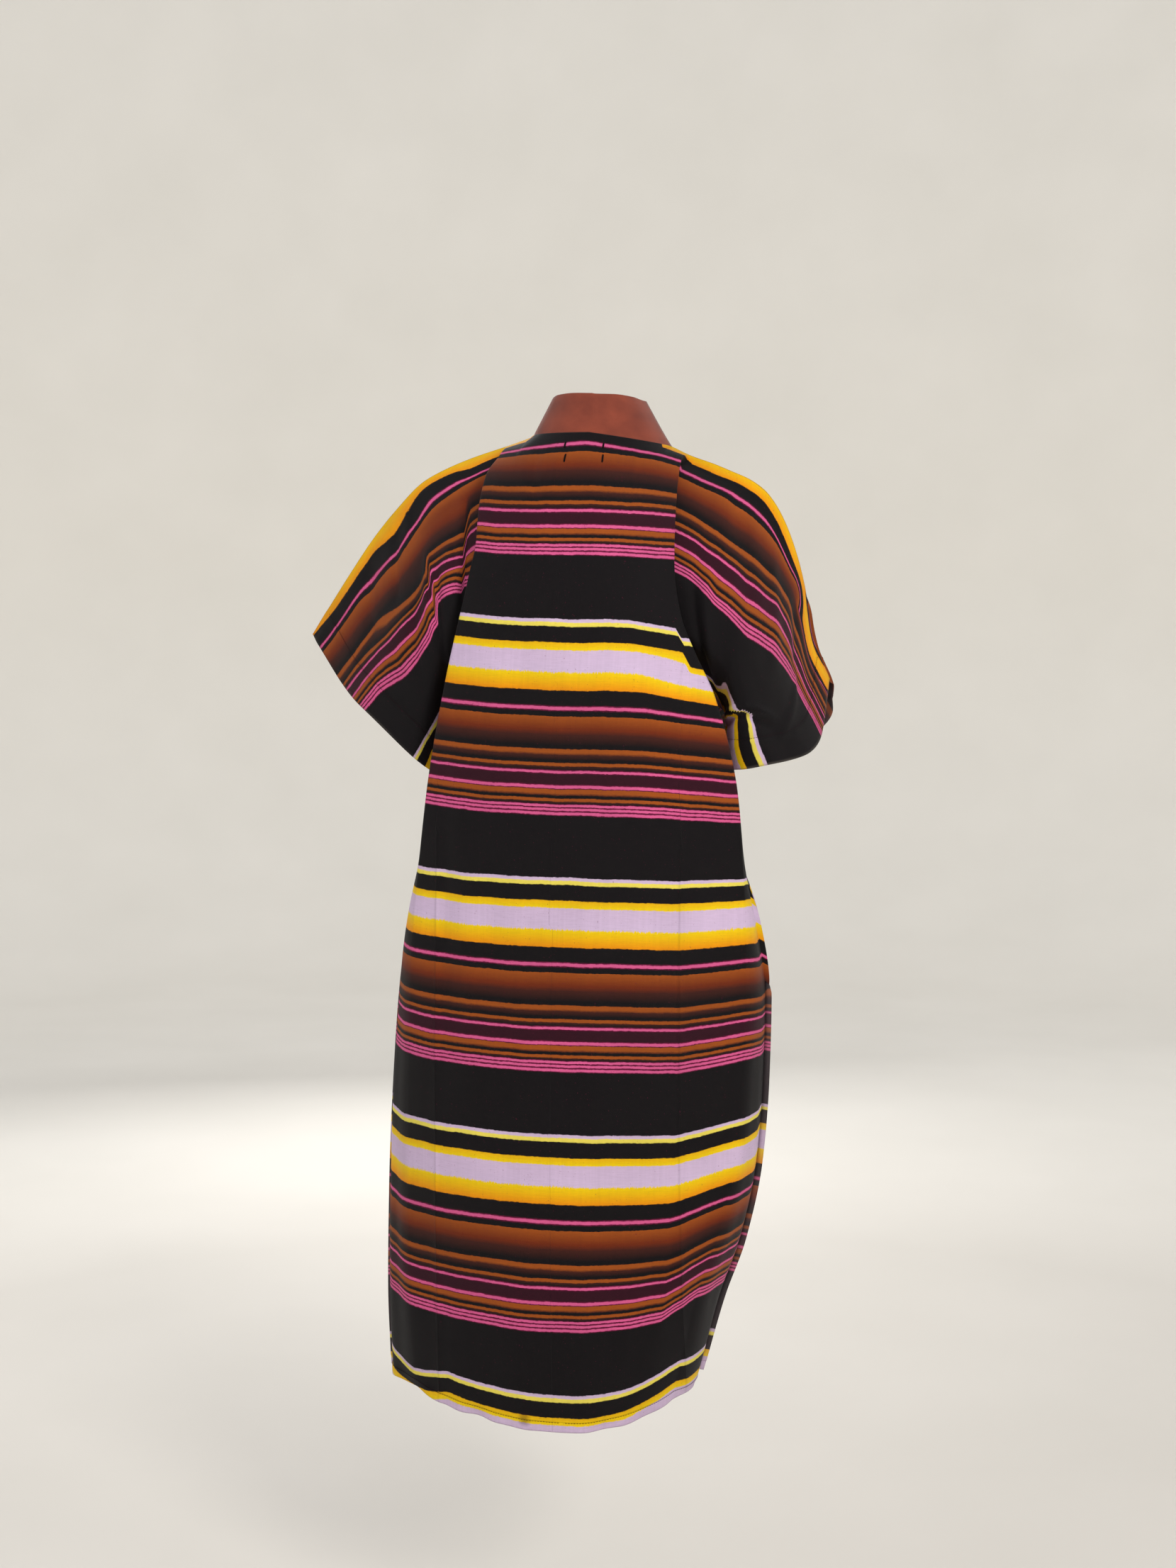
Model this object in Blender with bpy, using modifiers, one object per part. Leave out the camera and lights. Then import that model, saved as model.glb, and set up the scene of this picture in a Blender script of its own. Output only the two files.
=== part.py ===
"""Knee-length boubou robe in its worn form, hollow, with wide kimono sleeves and a stand collar.

The front faces -Y and the wearer's left is +X. The origin is between the two shoulders, at the
neck, where the wearer carries the robe. Each panel is one T-shaped cloth: a body, and two half
sleeves cut in one with it. A place on a panel is (across, down): `down` is the distance along
the cloth from the shoulder seam, and `across` is 0 at the centre line, 1 at the fold in front of
or behind the arm, 2 at the tuck under that fold (lower down, at the side seam), and 3 at the
sleeve's hem.
"""

import bmesh
import bpy
import numpy as np

# Driving sizes, in metres.
WALL = 0.0016  # thickness of the cloth
SEAM_GAP = 0.0003  # between two pieces at a seam
SEAM_LIP = 0.0026  # half width of the flat ridge that runs along a seam
BODY_LENGTH = 1.098  # shoulder seam to hem, along the cloth
SLEEVE_DEPTH = 0.29  # shoulder seam to underarm seam, along the cloth
TOP_LEVEL = 0.022  # height at which the shoulder seam would cross the centre line
NECK_HALF_WIDTH = 0.078
NECK_EDGE = 0.78  # the value of `across` where the neck edge meets the shoulder seam
BACK_NECK_DEPTH = 0.0197
FRONT_NECK_DEPTH = 0.20
NECK_BACK_Y = 0.062
FRONT_NECK_LIFT = 0.4  # share of the front neck edge that lifts to meet the shoulder seam
TOP_EASE = 0.06  # length of cloth over which a panel settles below its top edge
PANEL_BOW = 2.4  # power of the curve a panel follows in Y from its centre line to the fold
PANEL_SAG = 2.0  # and of the one its rows follow in height
TURN_REACH = 1.15  # roundness of the turn behind a fold
SLEEVE_PUFF = 0.010  # how far the middle of a sleeve stands out backwards or forwards
SLEEVE_SIDE_PUFF = 0.005  # and sideways
UNDERARM_EASE = 0.012  # how far a sleeve stands clear of the body just outside the tuck
COLLAR_HEIGHT = 0.044
COLLAR_LEAN = 0.55  # how far its sides lean towards the neck as they rise
COLLAR_BACK_LEAN = 0.25
COLLAR_TILT = 0.005  # added to its height on the lower shoulder, taken off on the other
COLLAR_FRONT_HEIGHT = 0.016  # along the V
COLLAR_POINT_HEIGHT = 0.003  # at the point of the V
COLLAR_TAPER = 0.55  # how fast it grows from that point, for its distance from the centre line
COLLAR_TURN = 0.03  # how far in front of the shoulder it stands square to the neck edge
COLLAR_LEVELS = (0, 0.3, 0.65, 1)  # rows of its mesh, as shares of its height
WAVE_HEIGHT = 0.003  # the soft waves of the hem
WAVE_START = 0.72  # cloth length at which they begin
WAVES = 2.5  # from the centre line to the side seam

CLOTH_ROUGHNESS = 0.7
PRINT_COLOUR = (0.05, 0.022, 0.024)  # the striped print seen from far away
COLLAR_COLOUR = (0.26, 0.056, 0.030)

LEFT, RIGHT = 1, -1
BACK, FRONT = 1, -1


def table(columns, *rows):
    """A short table as a dictionary of its columns."""
    return {name: np.array(column) for name, column in zip(columns.split(), zip(*rows))}


# The line down the middle of each panel.
CENTRE = table(
    "down   x      tilt   back_y  front_y",
    (0.000, 0.004, 0.060, 0.056, -0.052),
    (0.050, 0.003, 0.055, 0.086, -0.066),
    (0.100, 0.002, 0.050, 0.108, -0.088),
    (0.200, 0.001, 0.050, 0.130, -0.116),
    (0.300, 0.005, 0.050, 0.138, -0.132),
    (0.450, 0.015, 0.055, 0.143, -0.144),
    (0.600, 0.019, 0.035, 0.146, -0.150),
    (0.750, 0.020, 0.010, 0.148, -0.155),
    (0.900, 0.020, 0.000, 0.147, -0.161),
    (1.098, 0.020, 0.000, 0.138, -0.170),
)

# The shoulder and sleeve-top seam, from the neck to the sleeve's hem.
TOP_SEAM = {
    LEFT: table(
        "x      y       z",
        (0.078, 0.000, 0.003),
        (0.108, 0.000, -0.007),
        (0.147, -0.002, -0.019),
        (0.176, -0.004, -0.030),
        (0.206, -0.008, -0.045),
        (0.239, -0.015, -0.075),
        (0.269, -0.025, -0.107),
        (0.296, -0.035, -0.141),
        (0.332, -0.045, -0.191),
        (0.350, -0.050, -0.217),
    ),
    RIGHT: table(
        "x       y       z",
        (-0.078, 0.000, -0.010),
        (-0.099, 0.000, -0.020),
        (-0.124, 0.000, -0.029),
        (-0.143, -0.002, -0.037),
        (-0.163, -0.006, -0.046),
        (-0.181, -0.014, -0.060),
        (-0.203, -0.033, -0.100),
        (-0.219, -0.062, -0.160),
        (-0.227, -0.086, -0.218),
        (-0.245, -0.105, -0.267),
    ),
}

# Where the fold and the tuck start on that seam, as a share of its length from the neck.
FOLD_START = {LEFT: 0.076, RIGHT: 0.051}
TUCK_START = {LEFT: 0.112, RIGHT: 0.076}

# The fold's edge: it hangs from the shoulder over the sleeve, and lower down it is the corner
# where the panel turns to the side. `lag` is how far it lies below the centre line's level.
FOLD = {
    (LEFT, BACK): table(
        "down   x       y      lag",
        (0.000, 0.104, 0.000, 0.034),
        (0.035, 0.109, 0.030, 0.012),
        (0.065, 0.119, 0.052, 0.005),
        (0.100, 0.1215, 0.074, 0.002),
        (0.140, 0.122, 0.090, 0.001),
        (0.180, 0.129, 0.098, 0.000),
        (0.240, 0.142, 0.101, 0.000),
        (0.300, 0.156, 0.098, 0.000),
        (0.380, 0.1735, 0.093, 0.000),
        (0.450, 0.183, 0.090, 0.000),
        (0.520, 0.191, 0.087, 0.000),
        (0.620, 0.198, 0.089, 0.000),
        (0.800, 0.202, 0.090, 0.000),
        (0.950, 0.203, 0.087, -0.004),
        (1.098, 0.197, 0.080, -0.018),
    ),
    (RIGHT, BACK): table(
        "down   x        y      lag",
        (0.000, -0.094, 0.000, 0.034),
        (0.040, -0.0916, 0.034, 0.006),
        (0.083, -0.0908, 0.062, 0.001),
        (0.121, -0.0915, 0.082, 0.000),
        (0.164, -0.0935, 0.094, 0.000),
        (0.215, -0.103, 0.102, 0.000),
        (0.250, -0.117, 0.099, 0.000),
        (0.290, -0.135, 0.095, 0.000),
        (0.340, -0.150, 0.090, 0.000),
        (0.390, -0.160, 0.086, 0.000),
        (0.450, -0.166, 0.083, 0.000),
        (0.600, -0.171, 0.084, 0.000),
        (0.750, -0.166, 0.087, 0.000),
        (0.880, -0.145, 0.084, -0.004),
        (0.980, -0.115, 0.073, -0.010),
        (1.098, -0.090, 0.062, -0.016),
    ),
    (LEFT, FRONT): table(
        "down   x       y       lag",
        (0.000, 0.104, 0.000, 0.034),
        (0.040, 0.103, -0.030, 0.010),
        (0.080, 0.107, -0.055, 0.003),
        (0.140, 0.118, -0.080, 0.000),
        (0.200, 0.131, -0.092, 0.000),
        (0.260, 0.146, -0.097, 0.000),
        (0.320, 0.159, -0.097, 0.000),
        (0.400, 0.174, -0.094, 0.000),
        (0.500, 0.188, -0.091, 0.000),
        (0.650, 0.199, -0.092, 0.000),
        (0.850, 0.204, -0.096, -0.002),
        (1.098, 0.198, -0.104, -0.008),
    ),
    (RIGHT, FRONT): table(
        "down   x        y       lag",
        (0.000, -0.094, 0.000, 0.034),
        (0.040, -0.092, -0.032, 0.008),
        (0.080, -0.096, -0.056, 0.002),
        (0.140, -0.106, -0.080, 0.000),
        (0.200, -0.117, -0.092, 0.000),
        (0.260, -0.127, -0.096, 0.000),
        (0.320, -0.134, -0.096, 0.000),
        (0.400, -0.138, -0.093, 0.000),
        (0.480, -0.142, -0.092, 0.000),
        (0.560, -0.153, -0.094, 0.000),
        (0.660, -0.160, -0.098, 0.000),
        (0.800, -0.151, -0.106, 0.000),
        (0.950, -0.122, -0.120, -0.004),
        (1.098, -0.096, -0.132, -0.008),
    ),
}

# The tuck behind the fold, from the shoulder down to the underarm point.
TUCK = {
    (LEFT, BACK): table(
        "down   x       y      lag",
        (0.000, 0.117, 0.000, 0.036),
        (0.035, 0.103, 0.018, 0.018),
        (0.065, 0.101, 0.038, 0.015),
        (0.100, 0.101, 0.058, 0.016),
        (0.140, 0.102, 0.074, 0.017),
        (0.180, 0.108, 0.080, 0.018),
        (0.240, 0.128, 0.060, 0.020),
        (0.290, 0.148, 0.000, 0.022),
    ),
    (RIGHT, BACK): table(
        "down   x        y      lag",
        (0.000, -0.103, 0.000, 0.036),
        (0.018, -0.0945, 0.005, 0.025),
        (0.040, -0.084, 0.023, 0.013),
        (0.083, -0.081, 0.050, 0.008),
        (0.121, -0.081, 0.068, 0.008),
        (0.164, -0.083, 0.080, 0.008),
        (0.215, -0.094, 0.078, 0.009),
        (0.250, -0.108, 0.052, 0.012),
        (0.290, -0.125, 0.000, 0.016),
    ),
    (LEFT, FRONT): table(
        "down   x       y       lag",
        (0.000, 0.117, 0.000, 0.036),
        (0.018, 0.107, -0.004, 0.028),
        (0.040, 0.095, -0.018, 0.018),
        (0.080, 0.092, -0.040, 0.016),
        (0.140, 0.101, -0.064, 0.017),
        (0.200, 0.115, -0.072, 0.018),
        (0.250, 0.132, -0.050, 0.020),
        (0.290, 0.148, 0.000, 0.022),
    ),
    (RIGHT, FRONT): table(
        "down   x        y       lag",
        (0.000, -0.103, 0.000, 0.036),
        (0.018, -0.094, -0.004, 0.026),
        (0.040, -0.083, -0.018, 0.014),
        (0.080, -0.082, -0.042, 0.012),
        (0.140, -0.090, -0.064, 0.012),
        (0.200, -0.101, -0.072, 0.013),
        (0.250, -0.112, -0.050, 0.014),
        (0.290, -0.125, 0.000, 0.016),
    ),
}

# The side seam, from the underarm point down to the hem.
SIDE_SEAM = {
    LEFT: table(
        "down   x      y      lag",
        (0.290, 0.148, 0.000, 0.022),
        (0.330, 0.143, 0.000, 0.018),
        (0.380, 0.142, 0.000, 0.012),
        (0.430, 0.154, 0.000, 0.007),
        (0.480, 0.179, 0.000, 0.003),
        (0.530, 0.206, 0.000, 0.000),
        (0.600, 0.223, 0.000, 0.000),
        (0.720, 0.235, 0.000, 0.000),
        (0.880, 0.243, 0.000, -0.002),
        (1.000, 0.245, 0.000, -0.006),
        (1.098, 0.242, 0.000, -0.013),
    ),
    RIGHT: table(
        "down   x        y       lag",
        (0.290, -0.125, 0.000, 0.016),
        (0.330, -0.119, 0.000, 0.013),
        (0.380, -0.121, 0.000, 0.008),
        (0.430, -0.133, 0.002, 0.004),
        (0.480, -0.152, 0.006, 0.001),
        (0.540, -0.173, 0.012, 0.000),
        (0.630, -0.186, 0.022, 0.000),
        (0.720, -0.186, 0.018, 0.000),
        (0.820, -0.181, 0.004, 0.000),
        (0.920, -0.162, -0.018, -0.002),
        (1.000, -0.136, -0.038, -0.006),
        (1.098, -0.108, -0.052, -0.010),
    ),
}

# Where the fold opens into the plain side of the body.
FOLD_ANGLE = table(
    "down   degrees",
    (0.000, 90.0),
    (0.420, 90.0),
    (0.560, 52.0),
    (0.700, 44.0),
    (1.098, 44.0),
)

# The hem of each half sleeve, from the shoulder seam to the underarm seam.
SLEEVE_HEM = {
    (LEFT, BACK): table(
        "down   x      y       z",
        (0.000, 0.350, -0.050, -0.217),
        (0.080, 0.300, 0.000, -0.272),
        (0.150, 0.260, 0.042, -0.301),
        (0.215, 0.207, 0.057, -0.347),
        (0.248, 0.186, 0.045, -0.366),
        (0.290, 0.161, 0.010, -0.384),
    ),
    (RIGHT, BACK): table(
        "down   x       y       z",
        (0.000, -0.245, -0.105, -0.267),
        (0.085, -0.235, -0.040, -0.328),
        (0.160, -0.208, 0.014, -0.347),
        (0.205, -0.186, 0.038, -0.352),
        (0.240, -0.165, 0.042, -0.358),
        (0.266, -0.148, 0.030, -0.362),
        (0.290, -0.132, 0.008, -0.366),
    ),
    (LEFT, FRONT): table(
        "down   x      y       z",
        (0.000, 0.350, -0.050, -0.217),
        (0.075, 0.316, -0.088, -0.268),
        (0.140, 0.268, -0.112, -0.310),
        (0.200, 0.216, -0.102, -0.346),
        (0.248, 0.180, -0.056, -0.372),
        (0.290, 0.161, 0.010, -0.384),
    ),
    (RIGHT, FRONT): table(
        "down   x       y       z",
        (0.000, -0.245, -0.105, -0.267),
        (0.050, -0.247, -0.132, -0.303),
        (0.120, -0.219, -0.152, -0.338),
        (0.190, -0.177, -0.120, -0.358),
        (0.245, -0.147, -0.060, -0.366),
        (0.290, -0.132, 0.008, -0.366),
    ),
}

# Columns and rows of the mesh. The first list runs from the centre line to the side seam or the
# tuck, the second over the sleeve, and the last two down the cloth.
BODY_COLUMNS = (
    0, 0.12, 0.24, 0.36, 0.48, 0.60, 0.70, NECK_EDGE, 0.86, 0.92, 0.965,
    1, 1.14, 1.36, 1.6, 1.84, 2,
)
SLEEVE_COLUMNS = (2.05, 2.13, 2.23, 2.34, 2.45, 2.56, 2.67, 2.78, 2.89, 3)
UPPER_ROWS = (
    0, 0.006, 0.018, 0.035, 0.056, 0.082, 0.112, 0.145, 0.18, 0.215, 0.248, 0.275,
    SLEEVE_DEPTH,
)
LOWER_ROWS = (
    0.31, 0.338, 0.37, 0.405, 0.442, 0.48, 0.53, 0.60, 0.68, 0.76, 0.84, 0.91, 0.97, 1.02, 1.06,
    BODY_LENGTH,
)


def curve(keys, values, at):
    """Values between keys, on a smooth curve that never overshoots its table."""
    steps = np.diff(keys)
    rises = np.diff(values) / steps
    slopes = np.concatenate([rises[:1], np.zeros(len(keys) - 2), rises[-1:]])
    same_way = rises[:-1] * rises[1:] > 0
    before = np.where(same_way, rises[:-1], 1)
    after = np.where(same_way, rises[1:], 1)
    weight_before = 2 * steps[1:] + steps[:-1]
    weight_after = steps[1:] + 2 * steps[:-1]
    means = (weight_before + weight_after) / (weight_before / before + weight_after / after)
    slopes[1:-1] = np.where(same_way, means, 0)
    at = np.clip(at, keys[0], keys[-1])
    k = np.clip(np.searchsorted(keys, at, side="right") - 1, 0, len(keys) - 2)
    t = (at - keys[k]) / steps[k]
    return (
        values[k] * (2 * t**3 - 3 * t**2 + 1)
        + values[k + 1] * (3 * t**2 - 2 * t**3)
        + steps[k] * slopes[k] * (t**3 - 2 * t**2 + t)
        + steps[k] * slopes[k + 1] * (t**3 - t**2)
    )


def read(columns, name, at):
    return curve(columns["down"], columns[name], at)


def points_of(x, y, z):
    return np.stack(np.broadcast_arrays(x, y, z), axis=-1)


def smoothstep(t):
    t = np.clip(t, 0, 1)
    return t * t * (3 - 2 * t)


def top_seam(side, share):
    """Points of the shoulder and sleeve-top seam at shares of its length from the neck."""
    corners = points_of(*(TOP_SEAM[side][axis] for axis in "xyz"))
    lengths = np.linalg.norm(np.diff(corners, axis=0), axis=1)
    keys = np.concatenate([[0], np.cumsum(lengths) / lengths.sum()])
    return points_of(*(curve(keys, corners[:, axis], share) for axis in range(3)))


def neck_depth(face, across):
    """Cloth cut away at the neck, measured down from the shoulder seam's line."""
    inward = np.clip(1 - across / NECK_EDGE, 0, 1)
    if face == BACK:
        return BACK_NECK_DEPTH * (1 - (1 - inward) ** 2)
    return FRONT_NECK_DEPTH * inward


def level(x, lag, down):
    """Height of a point on the body's rows, which tip a little towards the lower shoulder."""
    return TOP_LEVEL - down + read(CENTRE, "tilt", down) * (x - read(CENTRE, "x", down)) - lag


def fold_point(side, face, down):
    fold = FOLD[side, face]
    x = read(fold, "x", down)
    return points_of(x, read(fold, "y", down), level(x, read(fold, "lag", down), down))


def side_point(side, face, down):
    """The tuck down to the underarm point, and the side seam below it."""
    columns = {}
    for name in ("x", "y", "lag"):
        tuck = read(TUCK[side, face], name, down)
        seam = read(SIDE_SEAM[side], name, down)
        columns[name] = np.where(down < SLEEVE_DEPTH, tuck, seam)
    return points_of(columns["x"], columns["y"], level(columns["x"], columns["lag"], down))


def body_point(side, face, across, down):
    """The body of a panel before its top edge is fitted, for `across` from 0 to 2."""
    fold = fold_point(side, face, down)
    end = side_point(side, face, down)
    centre_x = read(CENTRE, "x", down)
    centre_y = read(CENTRE, "back_y" if face == BACK else "front_y", down)
    centre = points_of(centre_x, centre_y, level(centre_x, 0, down))
    out = np.clip(across, 0, 1)[..., None]
    panel = centre + (fold - centre) * out ** np.array([1, PANEL_BOW, PANEL_SAG])
    # From the fold to the tuck or the side seam: a smooth turn that arrives along Y.
    t = np.clip(across - 1, 0, 1)[..., None]
    reach = np.linalg.norm(end - fold, axis=-1) * TURN_REACH
    angle = np.radians(read(FOLD_ANGLE, "degrees", down))
    leave = points_of(side * np.cos(angle), -face * np.sin(angle), 0 * angle) * reach[..., None]
    arrive = points_of(0 * reach, -face * reach, 0 * reach)
    turn = (
        fold * (2 * t**3 - 3 * t**2 + 1)
        + end * (3 * t**2 - 2 * t**3)
        + leave * (t**3 - 2 * t**2 + t)
        + arrive * (t**3 - t**2)
    )
    return np.where((across <= 1)[..., None], panel, turn)


def back_neck_edge(side, inward):
    """The back neck edge, a shallow scoop between the shoulders."""
    corner = top_seam(side, np.zeros_like(inward))
    middle = np.array([CENTRE["x"][0], 0, TOP_LEVEL - BACK_NECK_DEPTH])
    place = corner + (middle - corner) * inward[..., None]
    place[..., 1] = NECK_BACK_Y * np.sqrt(1 - (1 - inward) ** 2)
    return place


def front_neck_edge(side, across, inward):
    """The V neck edge, which lies in the body's own surface and lifts to the shoulder seam."""
    corner = np.full_like(across, NECK_EDGE)
    lift = top_seam(side, 0 * corner) - body_point(side, FRONT, corner, 0 * corner)
    share = np.clip(1 - inward / FRONT_NECK_LIFT, 0, 1) ** 2
    return body_point(side, FRONT, across, neck_depth(FRONT, across)) + lift * share[..., None]


def top_edge(side, face, across):
    """The panel's upper edge: the neck edge, then the shoulder seam up to the tuck."""
    share = np.interp(across, (NECK_EDGE, 1, 2), (0, FOLD_START[side], TUCK_START[side]))
    inward = np.clip(1 - across / NECK_EDGE, 0, 1)
    if face == BACK:
        neck = back_neck_edge(side, inward)
    else:
        neck = front_neck_edge(side, across, inward)
    return np.where((across < NECK_EDGE)[..., None], neck, top_seam(side, share))


def hem_waves(across, down):
    """Soft waves that grow towards the hem, out and in from the body's surface."""
    grown = smoothstep((down - WAVE_START) / (BODY_LENGTH - WAVE_START))
    free = np.sin(np.pi * np.clip(across / 2, 0, 1))
    return WAVE_HEIGHT * grown * free * np.sin(2 * np.pi * WAVES * across / 2)


def fitted_body(side, face, across, down):
    """The body of a panel, hung from its top edge."""
    depth = neck_depth(face, across)
    fit = top_edge(side, face, across) - body_point(side, face, across, depth)
    ease = np.clip(1 - (down - depth) / TOP_EASE, 0, 1) ** 2
    place = body_point(side, face, across, down) + fit * ease[..., None]
    place[..., 1] += face * hem_waves(across, down)
    return place


def sleeve_hem(side, face, down):
    return points_of(*(read(SLEEVE_HEM[side, face], axis, down) for axis in "xyz"))


def sleeve_point(side, face, across, down):
    """A half sleeve, spanned between the tuck, its hem, and its seams above and below."""
    out = np.clip(across - 2, 0, 1)
    low = np.clip(down / SLEEVE_DEPTH, 0, 1)
    full = SLEEVE_DEPTH * np.ones_like(low)
    inner = fitted_body(side, face, 2 * np.ones_like(low), down)
    outer = sleeve_hem(side, face, down)
    upper = top_seam(side, TUCK_START[side] + (1 - TUCK_START[side]) * out)
    inner_top = top_seam(side, TUCK_START[side] * np.ones_like(out))
    outer_top = top_seam(side, np.ones_like(out))
    inner_end = side_point(side, face, full)
    outer_end = sleeve_hem(side, face, full)
    out, low = out[..., None], low[..., None]
    lower = inner_end + (outer_end - inner_end) * out
    corners = (
        inner_top * (1 - out) * (1 - low)
        + outer_top * out * (1 - low)
        + inner_end * (1 - out) * low
        + outer_end * out * low
    )
    place = inner * (1 - out) + outer * out + upper * (1 - low) + lower * low - corners
    middle = np.sin(np.pi * out) * np.sin(np.pi * low)
    # Greatest a quarter of the way out, and at the underarm seam, where both panels share it.
    clear = UNDERARM_EASE * smoothstep(low) * out * (1 - out) ** 3 * 256 / 27
    place = place + middle * np.array([side * SLEEVE_SIDE_PUFF, face * SLEEVE_PUFF, 0])
    return place + clear * np.array([side, 0, 0])


def panel_point(side, face, across, down):
    """A place on a panel's outer surface."""
    across, down = np.broadcast_arrays(np.asarray(across, float), np.asarray(down, float))
    on_sleeve = (across > 2)[..., None]
    place = np.where(
        on_sleeve,
        sleeve_point(side, face, across, down),
        fitted_body(side, face, np.clip(across, 0, 2), down),
    )
    return place + np.array([0, face * SEAM_LIP, 0])


def row_depths(face, across, row):
    """Cloth length at a row: rows above the underarm start at the neck edge."""
    start = neck_depth(face, across)
    above = start + row * (SLEEVE_DEPTH - start) / SLEEVE_DEPTH
    return np.where(row < SLEEVE_DEPTH, above, row)


def panel_surface(face):
    """The T-shaped outer surface of a panel, with its seams' lips, and its neck edge's points."""
    rows = UPPER_ROWS + LOWER_ROWS
    columns = BODY_COLUMNS + SLEEVE_COLUMNS
    last_body = len(BODY_COLUMNS) - 1
    underarm = len(UPPER_ROWS) - 1
    mesh = bmesh.new()
    corners = {}
    for side in (LEFT, RIGHT):
        across, row = np.meshgrid(columns, rows)
        places = panel_point(side, face, across, row_depths(face, across, row))
        for j in range(len(rows)):
            for i in range(len(columns)):
                if i > last_body and j > underarm:
                    continue
                if i == 0 and side == RIGHT:
                    corners[side, i, j] = corners[LEFT, i, j]
                else:
                    corners[side, i, j] = mesh.verts.new(places[j, i])
        for j in range(len(rows) - 1):
            for i in range(len(columns) - 1):
                if i >= last_body and j >= underarm:
                    continue
                ring = [(i, j), (i, j + 1), (i + 1, j + 1), (i + 1, j)]
                if side * face == BACK:
                    ring.reverse()
                mesh.faces.new([corners[side, a, b] for a, b in ring])
    neck_column = BODY_COLUMNS.index(NECK_EDGE)
    lip_edges = []
    for side in (LEFT, RIGHT):
        top = [(i, 0) for i in range(neck_column, len(columns))]
        below = [(i, underarm) for i in range(len(columns) - 1, last_body, -1)]
        below += [(last_body, j) for j in range(underarm, len(rows))]
        for path in (top, below):
            for a, b in zip(path, path[1:]):
                pair = corners[(side, *a)], corners[(side, *b)]
                lip_edges.append(mesh.edges.get(pair))
    lip = bmesh.ops.extrude_edge_only(mesh, edges=lip_edges)["geom"]
    for vertex in lip:
        if isinstance(vertex, bmesh.types.BMVert):
            vertex.co.y -= face * (SEAM_LIP - SEAM_GAP / 2)
    mesh.normal_update()
    neck = [corners[RIGHT, i, 0] for i in range(neck_column, 0, -1)]
    neck += [corners[LEFT, i, 0] for i in range(neck_column + 1)]
    return mesh, [(np.array(vertex.co), np.array(vertex.normal)) for vertex in neck]


def add_shell(name, mesh, colour, parts):
    """The shell of a surface, as an object with its own material."""
    data = bpy.data.meshes.new(name)
    mesh.to_mesh(data)
    mesh.free()
    data.shade_smooth()
    piece = bpy.data.objects.new(name, data)
    parts.objects.link(piece)
    material = bpy.data.materials.new(name)
    material.use_nodes = True
    shader = material.node_tree.nodes["Principled BSDF"]
    shader.inputs["Base Color"].default_value = (*colour, 1)
    shader.inputs["Roughness"].default_value = CLOTH_ROUGHNESS
    data.materials.append(material)
    shell = piece.modifiers.new("Cloth wall", "SOLIDIFY")
    shell.thickness = WALL
    shell.offset = -1


def make_panel(name, face, parts):
    mesh, neck = panel_surface(face)
    add_shell(name, mesh, PRINT_COLOUR, parts)
    return neck


def collar_loop(back_neck, front_neck):
    """The neck edge all round, from the V over the left shoulder, with its panels' normals."""
    middle = len(front_neck) // 2
    return front_neck[middle:] + back_neck[::-1] + front_neck[:middle]


def make_collar(back_neck, front_neck, parts):
    """A band that rises from inside the neck edge and narrows to the point of the V."""
    loop = collar_loop(back_neck, front_neck)
    edge = np.array([place for place, normal in loop])
    normal = np.array([direction for place, direction in loop])
    along = np.roll(edge, -1, axis=0) - np.roll(edge, 1, axis=0)
    along /= np.linalg.norm(along, axis=1)[:, None]
    inward = np.cross(normal, along)
    inward /= np.linalg.norm(inward, axis=1)[:, None]
    forward = smoothstep(edge[:, 1] / edge[:, 1].min())
    aside = edge[:, 0] / NECK_HALF_WIDTH
    height = COLLAR_HEIGHT - COLLAR_TILT * aside
    height += (COLLAR_FRONT_HEIGHT - height) * forward
    tapered = COLLAR_POINT_HEIGHT + COLLAR_TAPER * np.abs(edge[:, 0] - edge[0, 0])
    height = np.where(edge[:, 1] < 0, np.minimum(height, tapered), height)
    side_lean = COLLAR_LEAN * aside
    back_lean = COLLAR_BACK_LEAN * (1 - np.abs(aside))
    upright = points_of(-side_lean, -back_lean, 1.0)
    rise = upright * (1 - forward[:, None]) + inward * forward[:, None]
    slant = np.sum(rise * along, axis=1) * smoothstep(-edge[:, 1] / COLLAR_TURN)
    rise -= slant[:, None] * along
    rise /= np.linalg.norm(rise, axis=1)[:, None]
    base = edge - (WALL + SEAM_GAP) * normal + SEAM_GAP * inward
    mesh = bmesh.new()
    rings = []
    for share in COLLAR_LEVELS:
        ring = base + rise * (height * share)[:, None]
        rings.append([mesh.verts.new(place) for place in ring])
    for low, high in zip(rings, rings[1:]):
        for k in range(len(low)):
            after = (k + 1) % len(low)
            mesh.faces.new([low[k], low[after], high[after], high[k]])
    mesh.normal_update()
    add_shell("collar", mesh, COLLAR_COLOUR, parts)


def main():
    for thing in list(bpy.data.objects):
        bpy.data.objects.remove(thing)
    parts = bpy.data.collections.new("boubou_robe")
    bpy.context.scene.collection.children.link(parts)
    back_neck = make_panel("back", BACK, parts)
    front_neck = make_panel("front", FRONT, parts)
    make_collar(back_neck, front_neck, parts)


main()
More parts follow.
